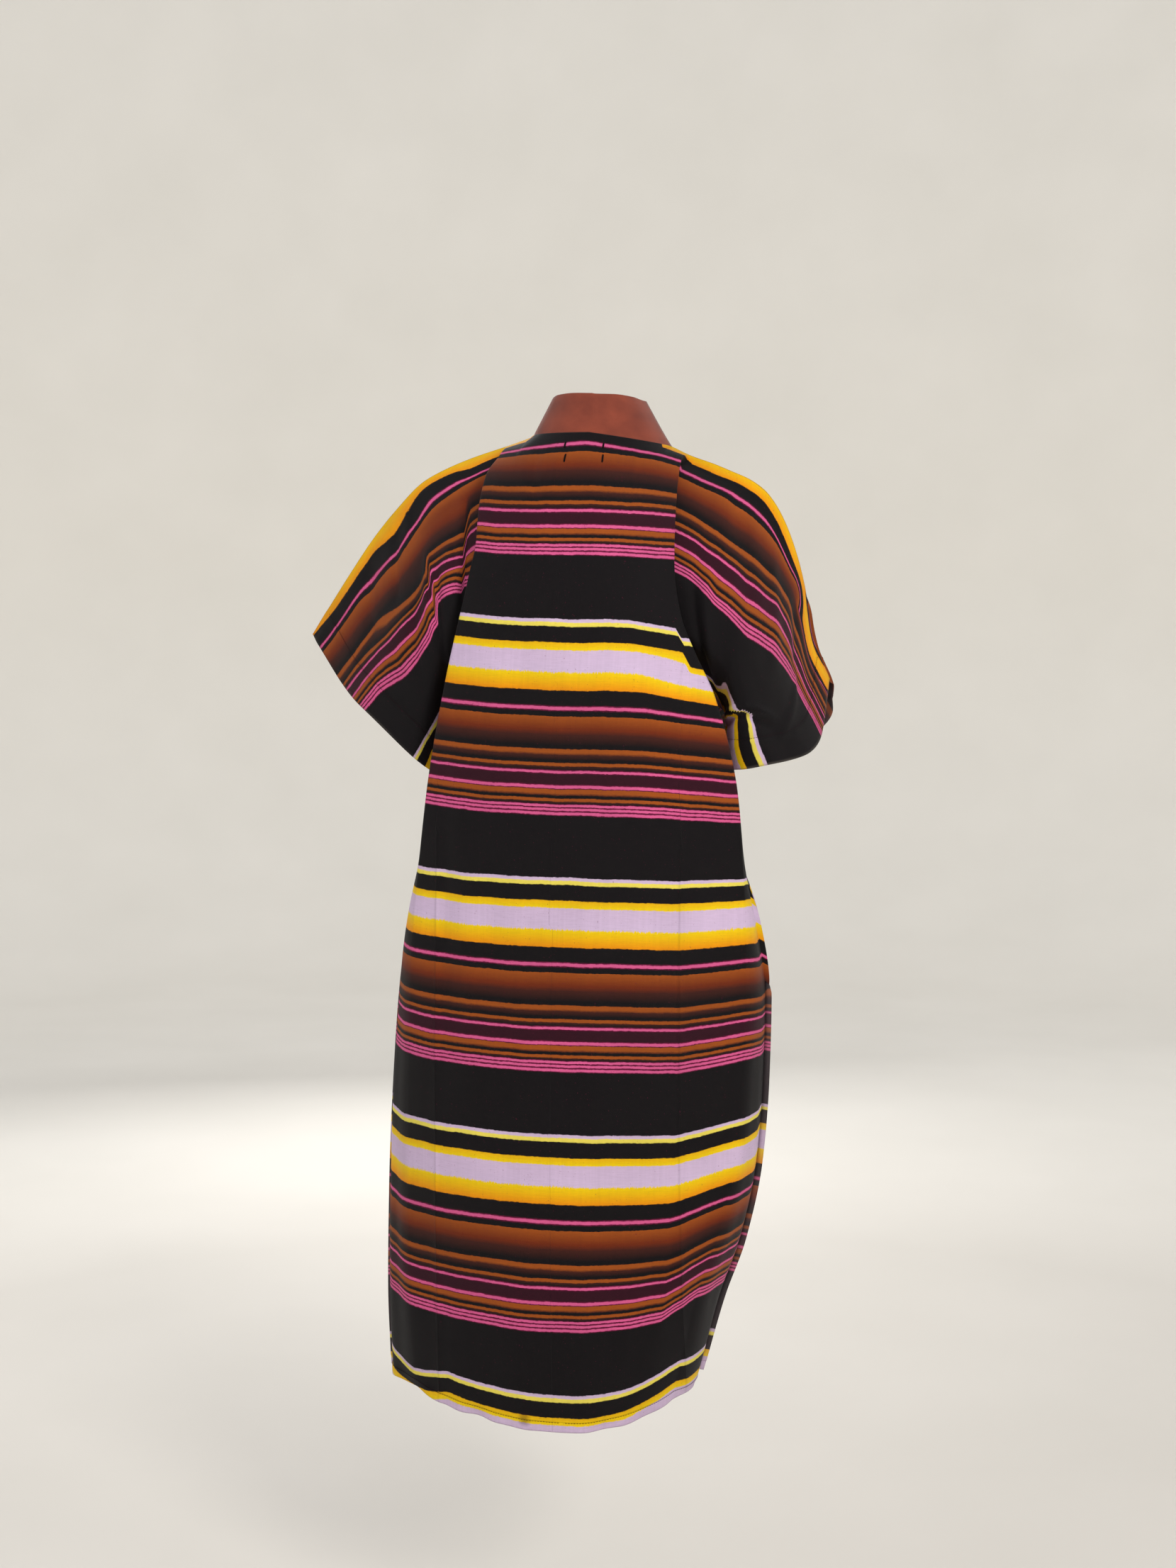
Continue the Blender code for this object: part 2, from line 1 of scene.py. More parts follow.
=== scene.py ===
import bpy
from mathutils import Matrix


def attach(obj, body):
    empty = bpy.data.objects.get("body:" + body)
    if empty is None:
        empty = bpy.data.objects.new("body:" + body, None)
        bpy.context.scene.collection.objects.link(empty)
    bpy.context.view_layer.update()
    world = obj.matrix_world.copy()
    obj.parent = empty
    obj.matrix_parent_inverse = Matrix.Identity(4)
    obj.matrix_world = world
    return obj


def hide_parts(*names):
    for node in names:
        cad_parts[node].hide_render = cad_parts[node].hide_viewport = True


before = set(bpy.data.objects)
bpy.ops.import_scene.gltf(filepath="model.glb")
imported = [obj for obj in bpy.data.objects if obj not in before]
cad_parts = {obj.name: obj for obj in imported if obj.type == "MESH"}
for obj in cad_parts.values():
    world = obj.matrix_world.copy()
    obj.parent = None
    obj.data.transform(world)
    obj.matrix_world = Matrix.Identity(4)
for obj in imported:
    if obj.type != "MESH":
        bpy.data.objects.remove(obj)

"""The looks of a knee-length boubou robe in its worn form.

The front faces -Y and the wearer's left is +X. A place on a panel is (across, down): `down` is
the distance along the cloth from the shoulder seam, and `across` is 0 at the centre line, 1 at
the fold beside the arm, 2 at the tuck under that fold (lower down, at the side seam), and 3 at
the sleeve's hem. All lengths are in metres.
"""

import math

import bpy
import numpy as np
from mathutils import Matrix, Vector

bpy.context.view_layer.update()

LEFT, RIGHT = 1, -1
BACK, FRONT = 1, -1

# Sizes that the panels share with their solids.
BODY_LENGTH = 1.098  # shoulder seam to hem, along the cloth
SLEEVE_DEPTH = 0.29  # shoulder seam to underarm seam, along the cloth
SEAM_GAP = 0.0003
SEAM_LIP = 0.0026  # how far a panel stands off the plane of its seams
TOP_LEVEL = 0.022  # height at which the shoulder seam would cross the centre line
NECK_HALF_WIDTH = 0.078
NECK_EDGE = 0.78  # the value of `across` where the neck edge meets the shoulder seam
BACK_NECK_DEPTH = 0.0197
FRONT_NECK_DEPTH = 0.20
NECK_BACK_Y = 0.062
FRONT_NECK_LIFT = 0.4  # share of the front neck edge that lifts to meet the shoulder seam
TOP_EASE = 0.06  # length of cloth over which a panel settles below its top edge
PANEL_BOW = 2.4  # power of the curve a panel follows in Y from its centre line to the fold
PANEL_SAG = 2.0  # and of the one its rows follow in height
TURN_REACH = 1.15  # roundness of the turn behind a fold
SLEEVE_PUFF = 0.010  # how far the middle of a sleeve stands out backwards or forwards
SLEEVE_SIDE_PUFF = 0.005  # and sideways
UNDERARM_EASE = 0.012  # how far a sleeve stands clear of the body just outside the tuck
COLLAR_HEIGHT = 0.0448
COLLAR_LEAN = 0.55  # how far its sides lean towards the neck as they rise
COLLAR_BACK_LEAN = 0.25
COLLAR_TILT = 0.005  # added to its height on the lower shoulder, taken off on the other
COLLAR_FRONT_HEIGHT = 0.016  # along the V
COLLAR_POINT_HEIGHT = 0.003  # at the point of the V
COLLAR_TAPER = 0.55  # how fast it grows from that point, for its distance from the centre line
COLLAR_TURN = 0.03  # how far in front of the shoulder it stands square to the neck edge
COLLAR_FALL = 0.055  # and how far in front it has come down to the height of the V
WAVE_HEIGHT = 0.003  # the soft waves of the hem
WAVE_START = 0.72  # cloth length at which they begin
WAVES = 2.5  # from the centre line to the side seam

# Finer sizes that only the cloth itself has.
CLOTH = 0.0007  # thickness of the cotton
LIP_REACH = 0.016  # distance from a seam within which a panel falls to the seam's plane
SIDE_SPAN = 0.09  # length of one unit of `across` near the side seam
ALLOWANCE = 0.007  # width of the seam allowance turned to the inside
SEAM_TOUCH = 0.00002  # how far the allowances' inner edges are from the plane of their seam
ROLL_REACH = 0.018  # distance from its edge within which the hem rolls and is drawn up
BODY_TURN = 0.011  # depth of the turned hem, from its edge to its stitches
SLEEVE_TURN = 0.035
HEM_STEP = 0.0005  # how much thicker the turned hem is
HEM_STEP_START = 1.15  # where it starts to thicken, in turned depths from the edge
HEM_STEP_SPAN = 0.3  # and over how many of them
EDGE_REACH = 0.012  # distance from the neck edge within which creases die away
STITCH_PITCH = 0.0031
STITCH_LENGTH = 0.0023
THREAD = 0.00022  # radius of the thread
LABEL_THREAD = 0.0010  # and of the label's stitches
STITCH_SIDES = 5
STITCH_CLEAR = 0.004  # length at each end of a sleeve's hem that has no stitches
BODY_HEM_PLACES = np.linspace(0.002, 1.998, 500)  # `across`, where the body's hem is measured
SLEEVE_HEM_PLACES = np.linspace(2.0001, 3, 160)  # and the sleeve's, from just outside the tuck
SLEEVE_HEM_ROWS = 200
COLLAR_WALL = 0.0017
COLLAR_COLUMNS = 90  # columns of its mesh on each quarter of the neck edge
COLLAR_LEVELS = 14  # rows of it on each side
COLLAR_ROUND = 6  # rows over its rounded top edge
COLLAR_TAIL = 0.006  # how far it reaches down inside the neck edge
COLLAR_EARS = 0.0072  # added to its height at the shoulders
COLLAR_CROWN = 0.0016  # added again on either side of the middle, so that its top is flat
CROWN_RISE = 0.6  # share of the way to the shoulder at which that is full
CROWN_FALL = 0.8  # and at which it begins to die away
COLLAR_BEND = 0.0012  # how far it bends in just above its base, on the lower shoulder
COLLAR_BEND_POWER = 4
NORMAL_STEP = 0.0008  # spacing, in `across` and in metres, of the points a normal is taken from


def table(columns, *rows):
    """A short table as a dictionary of its columns."""
    return {name: np.array(column) for name, column in zip(columns.split(), zip(*rows))}


# The line down the middle of each panel.
CENTRE = table(
    "down   x      tilt   back_y  front_y",
    (0.000, 0.004, 0.060, 0.056, -0.052),
    (0.050, 0.003, 0.055, 0.086, -0.066),
    (0.100, 0.002, 0.050, 0.108, -0.088),
    (0.200, 0.001, 0.050, 0.130, -0.116),
    (0.300, 0.005, 0.050, 0.138, -0.132),
    (0.450, 0.015, 0.055, 0.143, -0.144),
    (0.600, 0.019, 0.035, 0.146, -0.150),
    (0.750, 0.020, 0.010, 0.148, -0.155),
    (0.900, 0.020, 0.000, 0.147, -0.161),
    (1.098, 0.020, 0.000, 0.138, -0.170),
)

# The shoulder and sleeve-top seam, from the neck to the sleeve's hem.
TOP_SEAM = {
    LEFT: table(
        "x      y       z",
        (0.078, 0.000, 0.003),
        (0.108, 0.000, -0.007),
        (0.147, -0.002, -0.019),
        (0.176, -0.004, -0.030),
        (0.206, -0.008, -0.045),
        (0.239, -0.015, -0.075),
        (0.269, -0.025, -0.107),
        (0.296, -0.035, -0.141),
        (0.332, -0.045, -0.191),
        (0.350, -0.050, -0.217),
    ),
    RIGHT: table(
        "x       y       z",
        (-0.078, 0.000, -0.010),
        (-0.099, 0.000, -0.020),
        (-0.124, 0.000, -0.029),
        (-0.143, -0.002, -0.037),
        (-0.163, -0.006, -0.046),
        (-0.181, -0.014, -0.060),
        (-0.203, -0.033, -0.100),
        (-0.219, -0.062, -0.160),
        (-0.227, -0.086, -0.218),
        (-0.245, -0.105, -0.267),
    ),
}

# Where the fold and the tuck start on that seam, as a share of its length from the neck.
FOLD_START = {LEFT: 0.076, RIGHT: 0.051}
TUCK_START = {LEFT: 0.112, RIGHT: 0.076}

# The fold's edge: it hangs from the shoulder over the sleeve, and lower down it is the corner
# where the panel turns to the side. `lag` is how far it lies below the centre line's level.
FOLD = {
    (LEFT, BACK): table(
        "down   x       y      lag",
        (0.000, 0.104, 0.000, 0.034),
        (0.035, 0.109, 0.030, 0.012),
        (0.065, 0.119, 0.052, 0.005),
        (0.100, 0.1215, 0.074, 0.002),
        (0.140, 0.122, 0.090, 0.001),
        (0.180, 0.129, 0.098, 0.000),
        (0.240, 0.142, 0.101, 0.000),
        (0.300, 0.156, 0.098, 0.000),
        (0.380, 0.1735, 0.093, 0.000),
        (0.450, 0.183, 0.090, 0.000),
        (0.520, 0.191, 0.087, 0.000),
        (0.620, 0.198, 0.089, 0.000),
        (0.800, 0.202, 0.090, 0.000),
        (0.950, 0.203, 0.087, -0.004),
        (1.098, 0.197, 0.080, -0.018),
    ),
    (RIGHT, BACK): table(
        "down   x        y      lag",
        (0.000, -0.094, 0.000, 0.034),
        (0.040, -0.0916, 0.034, 0.006),
        (0.083, -0.0908, 0.062, 0.001),
        (0.121, -0.0915, 0.082, 0.000),
        (0.164, -0.0935, 0.094, 0.000),
        (0.215, -0.103, 0.102, 0.000),
        (0.250, -0.117, 0.099, 0.000),
        (0.290, -0.135, 0.095, 0.000),
        (0.340, -0.150, 0.090, 0.000),
        (0.390, -0.160, 0.086, 0.000),
        (0.450, -0.166, 0.083, 0.000),
        (0.600, -0.171, 0.084, 0.000),
        (0.750, -0.166, 0.087, 0.000),
        (0.880, -0.145, 0.084, -0.004),
        (0.980, -0.115, 0.073, -0.010),
        (1.098, -0.090, 0.062, -0.016),
    ),
    (LEFT, FRONT): table(
        "down   x       y       lag",
        (0.000, 0.104, 0.000, 0.034),
        (0.040, 0.103, -0.030, 0.010),
        (0.080, 0.107, -0.055, 0.003),
        (0.140, 0.118, -0.080, 0.000),
        (0.200, 0.131, -0.092, 0.000),
        (0.260, 0.146, -0.097, 0.000),
        (0.320, 0.159, -0.097, 0.000),
        (0.400, 0.174, -0.094, 0.000),
        (0.500, 0.188, -0.091, 0.000),
        (0.650, 0.199, -0.092, 0.000),
        (0.850, 0.204, -0.096, -0.002),
        (1.098, 0.198, -0.104, -0.008),
    ),
    (RIGHT, FRONT): table(
        "down   x        y       lag",
        (0.000, -0.094, 0.000, 0.034),
        (0.040, -0.092, -0.032, 0.008),
        (0.080, -0.096, -0.056, 0.002),
        (0.140, -0.106, -0.080, 0.000),
        (0.200, -0.117, -0.092, 0.000),
        (0.260, -0.127, -0.096, 0.000),
        (0.320, -0.134, -0.096, 0.000),
        (0.400, -0.138, -0.093, 0.000),
        (0.480, -0.142, -0.092, 0.000),
        (0.560, -0.153, -0.094, 0.000),
        (0.660, -0.157, -0.098, 0.000),
        (0.800, -0.144, -0.106, 0.000),
        (0.950, -0.114, -0.120, -0.004),
        (1.098, -0.089, -0.132, -0.008),
    ),
}

# The tuck behind the fold, from the shoulder down to the underarm point.
TUCK = {
    (LEFT, BACK): table(
        "down   x       y      lag",
        (0.000, 0.117, 0.000, 0.036),
        (0.035, 0.103, 0.018, 0.018),
        (0.065, 0.101, 0.038, 0.015),
        (0.100, 0.101, 0.058, 0.016),
        (0.140, 0.102, 0.074, 0.017),
        (0.180, 0.108, 0.080, 0.018),
        (0.240, 0.128, 0.060, 0.020),
        (0.290, 0.148, 0.000, 0.022),
    ),
    (RIGHT, BACK): table(
        "down   x        y      lag",
        (0.000, -0.103, 0.000, 0.036),
        (0.018, -0.0945, 0.005, 0.025),
        (0.040, -0.084, 0.023, 0.013),
        (0.083, -0.081, 0.050, 0.008),
        (0.121, -0.081, 0.068, 0.008),
        (0.164, -0.083, 0.080, 0.008),
        (0.215, -0.094, 0.078, 0.009),
        (0.250, -0.108, 0.052, 0.012),
        (0.290, -0.125, 0.000, 0.016),
    ),
    (LEFT, FRONT): table(
        "down   x       y       lag",
        (0.000, 0.117, 0.000, 0.036),
        (0.018, 0.107, -0.004, 0.028),
        (0.040, 0.095, -0.018, 0.018),
        (0.080, 0.092, -0.040, 0.016),
        (0.140, 0.101, -0.064, 0.017),
        (0.200, 0.115, -0.072, 0.018),
        (0.250, 0.132, -0.050, 0.020),
        (0.290, 0.148, 0.000, 0.022),
    ),
    (RIGHT, FRONT): table(
        "down   x        y       lag",
        (0.000, -0.103, 0.000, 0.036),
        (0.018, -0.094, -0.004, 0.026),
        (0.040, -0.083, -0.018, 0.014),
        (0.080, -0.082, -0.042, 0.012),
        (0.140, -0.090, -0.064, 0.012),
        (0.200, -0.101, -0.072, 0.013),
        (0.250, -0.112, -0.050, 0.014),
        (0.290, -0.125, 0.000, 0.016),
    ),
}

# The side seam, from the underarm point down to the hem.
SIDE_SEAM = {
    LEFT: table(
        "down   x      y      lag",
        (0.290, 0.148, 0.000, 0.022),
        (0.330, 0.143, 0.000, 0.018),
        (0.380, 0.142, 0.000, 0.012),
        (0.430, 0.154, 0.000, 0.007),
        (0.480, 0.179, 0.000, 0.003),
        (0.530, 0.206, 0.000, 0.000),
        (0.600, 0.223, 0.000, 0.000),
        (0.720, 0.235, 0.000, 0.000),
        (0.880, 0.243, 0.000, -0.002),
        (1.000, 0.245, 0.000, -0.006),
        (1.098, 0.242, 0.000, -0.013),
    ),
    RIGHT: table(
        "down   x        y       lag",
        (0.290, -0.125, 0.000, 0.016),
        (0.330, -0.119, 0.000, 0.013),
        (0.380, -0.121, 0.000, 0.008),
        (0.430, -0.133, 0.002, 0.004),
        (0.480, -0.152, 0.006, 0.001),
        (0.540, -0.173, 0.012, 0.000),
        (0.630, -0.186, 0.022, 0.000),
        (0.720, -0.184, 0.018, 0.000),
        (0.820, -0.176, 0.004, 0.000),
        (0.920, -0.156, -0.018, -0.002),
        (1.000, -0.130, -0.038, -0.006),
        (1.098, -0.104, -0.052, -0.010),
    ),
}

# Where the fold opens into the plain side of the body.
FOLD_ANGLE = table(
    "down   degrees",
    (0.000, 90.0),
    (0.420, 90.0),
    (0.560, 52.0),
    (0.700, 44.0),
    (1.098, 44.0),
)

# The hem of each half sleeve, from the shoulder seam to the underarm seam.
SLEEVE_HEM = {
    (LEFT, BACK): table(
        "down   x      y       z",
        (0.000, 0.350, -0.050, -0.217),
        (0.080, 0.300, 0.000, -0.272),
        (0.150, 0.260, 0.042, -0.301),
        (0.215, 0.207, 0.057, -0.347),
        (0.248, 0.186, 0.045, -0.366),
        (0.290, 0.161, 0.010, -0.384),
    ),
    (RIGHT, BACK): table(
        "down   x       y       z",
        (0.000, -0.245, -0.105, -0.267),
        (0.085, -0.239, -0.040, -0.331),
        (0.120, -0.230, -0.012, -0.345),
        (0.160, -0.211, 0.014, -0.352),
        (0.205, -0.187, 0.038, -0.356),
        (0.240, -0.165, 0.042, -0.360),
        (0.266, -0.148, 0.030, -0.362),
        (0.290, -0.132, 0.008, -0.366),
    ),
    (LEFT, FRONT): table(
        "down   x      y       z",
        (0.000, 0.350, -0.050, -0.217),
        (0.075, 0.316, -0.088, -0.268),
        (0.140, 0.268, -0.112, -0.310),
        (0.200, 0.216, -0.102, -0.346),
        (0.248, 0.180, -0.056, -0.372),
        (0.290, 0.161, 0.010, -0.384),
    ),
    (RIGHT, FRONT): table(
        "down   x       y       z",
        (0.000, -0.245, -0.105, -0.267),
        (0.050, -0.247, -0.132, -0.303),
        (0.120, -0.219, -0.152, -0.338),
        (0.190, -0.177, -0.120, -0.358),
        (0.245, -0.147, -0.060, -0.366),
        (0.290, -0.132, 0.008, -0.366),
    ),
}

# Stretches of the mesh, with their number of cells: `across` on one side, then rows down the
# cloth. Cells are smallest at the folds, the neck edge and the hems.
COLUMN_STRETCHES = (
    (0, 0.70, 29), (0.70, NECK_EDGE, 5), (NECK_EDGE, 0.93, 8), (0.93, 1.14, 14),
    (1.14, 2, 14), (2, 2.06, 3), (2.06, 2.36, 24), (2.36, 2.86, 30), (2.86, 3, 10),
)
ROW_STRETCHES = (
    (0, 0.012, 8), (0.012, 0.06, 14), (0.06, 0.274, 50), (0.274, SLEEVE_DEPTH, 6),
    (SLEEVE_DEPTH, 1.08, 160), (1.08, BODY_LENGTH, 12),
)

# Creases, listed one by one: soft ridges (depth above 0) and troughs (below 0) along a line from one
# place on a panel to another.
CREASES = {
    BACK: table(
        "side   across0 down0   across1 down1  width   depth",
        # Pulled down from the shoulders beside the collar.
        (LEFT, 0.55, 0.020, 0.42, 0.115, 0.0070, -0.0012),
        (LEFT, 0.30, 0.034, 0.26, 0.095, 0.0050, 0.0009),
        (RIGHT, 0.62, 0.022, 0.50, 0.120, 0.0070, -0.0010),
        # The sleeve folds that hang from the left shoulder beside the first one.
        (LEFT, 2.150, 0.040, 2.145, 0.215, 0.0042, -0.0036),
        (LEFT, 2.090, 0.050, 2.090, 0.200, 0.0060, 0.0026),
        (LEFT, 2.290, 0.100, 2.300, 0.235, 0.0042, -0.0040),
        (LEFT, 2.335, 0.075, 2.370, 0.190, 0.0060, 0.0034),
        (LEFT, 2.225, 0.080, 2.235, 0.205, 0.0070, 0.0020),
        (LEFT, 2.400, 0.110, 2.620, 0.215, 0.0080, -0.0026),
        (LEFT, 2.470, 0.008, 2.560, 0.110, 0.0070, -0.0022),
        (LEFT, 2.620, 0.006, 2.800, 0.110, 0.0120, -0.0020),
        (LEFT, 2.395, 0.004, 2.440, 0.050, 0.0050, 0.0018),
        # The right sleeve falls in folds under its own weight.
        (RIGHT, 2.840, 0.138, 2.390, 0.285, 0.0045, 0.0046),
        (RIGHT, 2.870, 0.150, 2.420, 0.296, 0.0045, -0.0042),
        (RIGHT, 2.160, 0.110, 2.190, 0.270, 0.0050, 0.0028),
        (RIGHT, 2.110, 0.120, 2.120, 0.270, 0.0040, -0.0028),
        (RIGHT, 2.300, 0.160, 2.340, 0.265, 0.0070, -0.0024),
        (RIGHT, 2.200, 0.030, 2.440, 0.165, 0.0120, -0.0026),
        (RIGHT, 2.380, 0.020, 2.660, 0.140, 0.0120, 0.0022),
        (RIGHT, 2.600, 0.015, 2.860, 0.100, 0.0110, -0.0028),
        (RIGHT, 2.740, 0.050, 2.900, 0.170, 0.0060, 0.0020),
        # Long soft folds down the body.
        (LEFT, 0.92, 0.300, 0.70, 0.700, 0.0180, -0.0022),
        (LEFT, 0.50, 0.420, 0.46, 1.060, 0.0200, -0.0016),
        (LEFT, 0.22, 0.560, 0.24, 1.090, 0.0180, 0.0016),
        (RIGHT, 0.90, 0.320, 0.60, 0.640, 0.0170, -0.0022),
        (RIGHT, 0.30, 0.500, 0.36, 1.090, 0.0200, -0.0014),
        (RIGHT, 0.84, 0.640, 0.74, 1.090, 0.0160, 0.0018),
        (LEFT, 1.36, 0.560, 1.30, 1.090, 0.0180, -0.0024),
        (RIGHT, 1.40, 0.560, 1.34, 1.080, 0.0160, -0.0022),
        (LEFT, 1.10, 0.330, 1.50, 0.520, 0.0140, -0.0026),
        (RIGHT, 1.10, 0.330, 1.52, 0.500, 0.0130, -0.0024),
    ),
    FRONT: table(
        "side   across0 down0   across1 down1  width   depth",
        (LEFT, 0.86, 0.060, 0.60, 0.200, 0.0120, -0.0020),
        (RIGHT, 0.88, 0.070, 0.64, 0.210, 0.0110, -0.0018),
        (LEFT, 0.30, 0.215, 0.42, 0.420, 0.0140, -0.0018),
        (RIGHT, 0.26, 0.225, 0.34, 0.400, 0.0140, 0.0016),
        (LEFT, 0.92, 0.300, 0.66, 0.720, 0.0180, -0.0024),
        (RIGHT, 0.90, 0.310, 0.62, 0.700, 0.0170, -0.0022),
        (LEFT, 0.46, 0.480, 0.50, 1.080, 0.0200, -0.0018),
        (LEFT, 0.16, 0.600, 0.18, 1.090, 0.0180, 0.0016),
        (RIGHT, 0.30, 0.520, 0.34, 1.090, 0.0200, -0.0018),
        (RIGHT, 0.74, 0.640, 0.66, 1.080, 0.0170, 0.0020),
        (LEFT, 1.34, 0.560, 1.28, 1.090, 0.0180, -0.0024),
        (RIGHT, 1.36, 0.560, 1.30, 1.090, 0.0170, -0.0024),
        (LEFT, 1.10, 0.330, 1.46, 0.520, 0.0140, -0.0024),
        (RIGHT, 1.10, 0.320, 1.50, 0.510, 0.0130, -0.0024),
        (LEFT, 2.20, 0.040, 2.44, 0.170, 0.0120, -0.0032),
        (LEFT, 2.40, 0.020, 2.66, 0.140, 0.0130, 0.0026),
        (LEFT, 2.62, 0.030, 2.84, 0.130, 0.0130, -0.0028),
        (RIGHT, 2.22, 0.040, 2.50, 0.160, 0.0120, -0.0030),
        (RIGHT, 2.44, 0.020, 2.70, 0.130, 0.0120, 0.0024),
        (RIGHT, 2.66, 0.020, 2.88, 0.110, 0.0120, -0.0026),
        (RIGHT, 2.55, 0.026, 3.05, 0.030, 0.0150, 0.0080),
    ),
}
CREASE_POINTS = 14
CREASE_ENDS = 3.5  # a crease dies away over its length divided by this, at each end
CREASE_MARGIN = 3  # widths from a crease at which nothing of it is left

# Unevenness of hanging cotton, and how its hem's edge rolls out and in and is drawn up: sine waves
# by their height, their turns along X and Z in radians per metre, and their start.
COTTON_WAVES = (
    (0.00050, 61, 7.0, 0.4),
    (0.00035, 97, -11.0, 2.1),
    (0.00028, 23, 41.0, 1.2),
)
COTTON_WAVES_TOP = 0.02  # height at which the cotton's waves start
COTTON_WAVES_SPAN = 0.10  # and the drop over which they grow
HEM_ROLLS = {
    BACK: ((0.0016, 83, 0, 0.6), (0.00112, 141, 0, 1.0)),
    FRONT: ((0.0016, 83, 0, 0.6), (0.00112, 141, 0, -1.0)),
}
HEM_DRAWS = ((0.0010, 67, 0, 1.1), (0.0006, 173, 0, 0.0))

# Sharp lines left by the folded package, straight down the robe from a height.
PRESSED = table(
    "x       top",
    (0.1655, -0.430),
    (-0.1040, -0.440),
)
PRESSED_HEIGHT = 0.0009
PRESSED_WIDTH = 0.0055

# The rings of one stitch: share of its length, thickness and lift, both in radii of the thread.
STITCH_RINGS = (
    (0.0, 0.35, -0.9),
    (0.18, 0.95, 0.1),
    (0.5, 1.0, 0.5),
    (0.82, 0.95, 0.1),
    (1.0, 0.35, -0.9),
)
# The tacks that a label has left: side, place across, and their two ends down the cloth.
LABEL_TACKS = table(
    "side   across  top     bottom",
    (LEFT, 0.245, 0.0285, 0.0375),
    (LEFT, 0.215, 0.0425, 0.0540),
    (RIGHT, 0.168, 0.0280, 0.0375),
    (RIGHT, 0.180, 0.0425, 0.0540),
)

# The print. A repeat is 365 units long, and this many units lie at each length down the cloth.
REPEAT = 365
CHART = table(
    "down   units",
    (0.000, 80.0),
    (0.032, 122.4),
    (0.114, 224.6),
    (0.217, 363.0),
    (0.3135, 487.4),
    (0.396, 601.0),
    (0.488, 726.0),
    (0.585, 852.5),
    (0.669, 966.0),
    (0.766, 1095.0),
    (1.055, 1460.0),
    (1.098, 1513.0),
)
SEAM_SLIP = 2  # units by which the front's stripes sit higher along the shoulder seam
SEAM_SLIP_REACH = 0.03  # and the length of cloth over which they come down again
FRONT_STEP = 7  # units by which they sit higher at the right side seam, or more where the back's do
FRONT_STEP_START = 0.6  # `across`, where that begins
FRONT_STEP_SPAN = 0.8  # and how far from there it is whole
TURNED_OVER = 52  # units by which they sit higher where the right sleeve turns over its seam
TURNED_DEPTH = 0.12  # how far down the cloth
TURNED_START = 2.54  # `across`, where that begins at the seam
TURNED_SPAN = 0.22  # and how far from there it is whole
TURNED_SLANT = 2.5  # how fast its start moves in, down the cloth

# How many units higher the stripes of the back's sleeves sit where the cloth gathers: a row for
# each place across the sleeve, and a column for each of these lengths down the cloth.
SLIP_DOWN = (0.000, 0.008, 0.020, 0.026, 0.030, 0.040, 0.080, 0.110, 0.150, 0.185, 0.220, 0.250, 0.290)
SLIP = {
    LEFT: (
        (2.00, (2, -2, -7, -7, -5, 0, 6, 5, -6, 2, -8, -46, -74)),
        (2.12, (2, -3, -9, -8, -6, 2, 9, 7, -9, 0, -8, -46, -74)),
        (2.20, (3, 2, 2, 2, 0, 0, 3, 7, 3, 5, -10, -46, -74)),
        (2.30, (4, 5, 4, 2, -1, -4, 0, 8, 6, 5, -10, -44, -70)),
        (2.40, (4, 2, -7, -10, -12, -13, -7, 0, -5, -8, -12, -38, -64)),
        (2.50, (2, -4, -13, -15, -17, -19, -12, -4, -12, -10, -12, -34, -54)),
        (2.64, (3, 1, -1, -3, -5, -8, -7, -3, -11, -11, -10, -22, -34)),
        (2.75, (5, 2, 0, 1, 2, 4, 0, 3, -1, -6, -6, -8, -14)),
        (2.85, (7, 4, 1, 4, 6, 9, 4, 12, 9, 3, 1, 3, 6)),
        (3.00, (15, 13, 12, 15, 17, 21, 16, 20, 16, 10, 8, 8, 6)),
    ),
    RIGHT: (
        (2.00, (2, -2, -6, -7, -7, -8, -8, -5, -1, 2, -20, -44, -18)),
        (2.10, (2, -2, -6, -6, -6, -6, -5, -2, 1, 0, -22, -50, -20)),
        (2.16, (2, -1, -4, -4, -4, -3, -6, -5, -6, -6, -19, -49, -46)),
        (2.22, (2, -1, -3, -3, -3, -3, -7, -5, -13, -10, -14, -43, -38)),
        (2.30, (3, 1, 2, 3, 3, 3, 2, 0, -9, -8, -12, -33, -38)),
        (2.42, (4, 0, 5, 14, 16, 18, 18, 17, 3, -4, -8, -24, -26)),
        (2.52, (6, 0, 14, 26, 30, 34, 38, 36, 21, 2, -5, -17, -14)),
        (2.62, (9, 6, 38, 40, 42, 46, 56, 53, 43, 14, 1, -6, -6)),
        (2.72, (34, -8, -12, -12, 48, 50, 72, 73, 49, 18, -2, -8, -6)),
        (2.82, (52, -6, -12, -14, 48, 52, 90, 87, 55, 16, -6, -12, -6)),
        (2.92, (28, -6, -11, 6, 50, 54, 92, 91, 57, 16, -7, -12, -6)),
        (3.00, (2, -2, -5, 40, 50, 54, 92, 91, 57, 16, -6, -10, -6)),
    ),
}

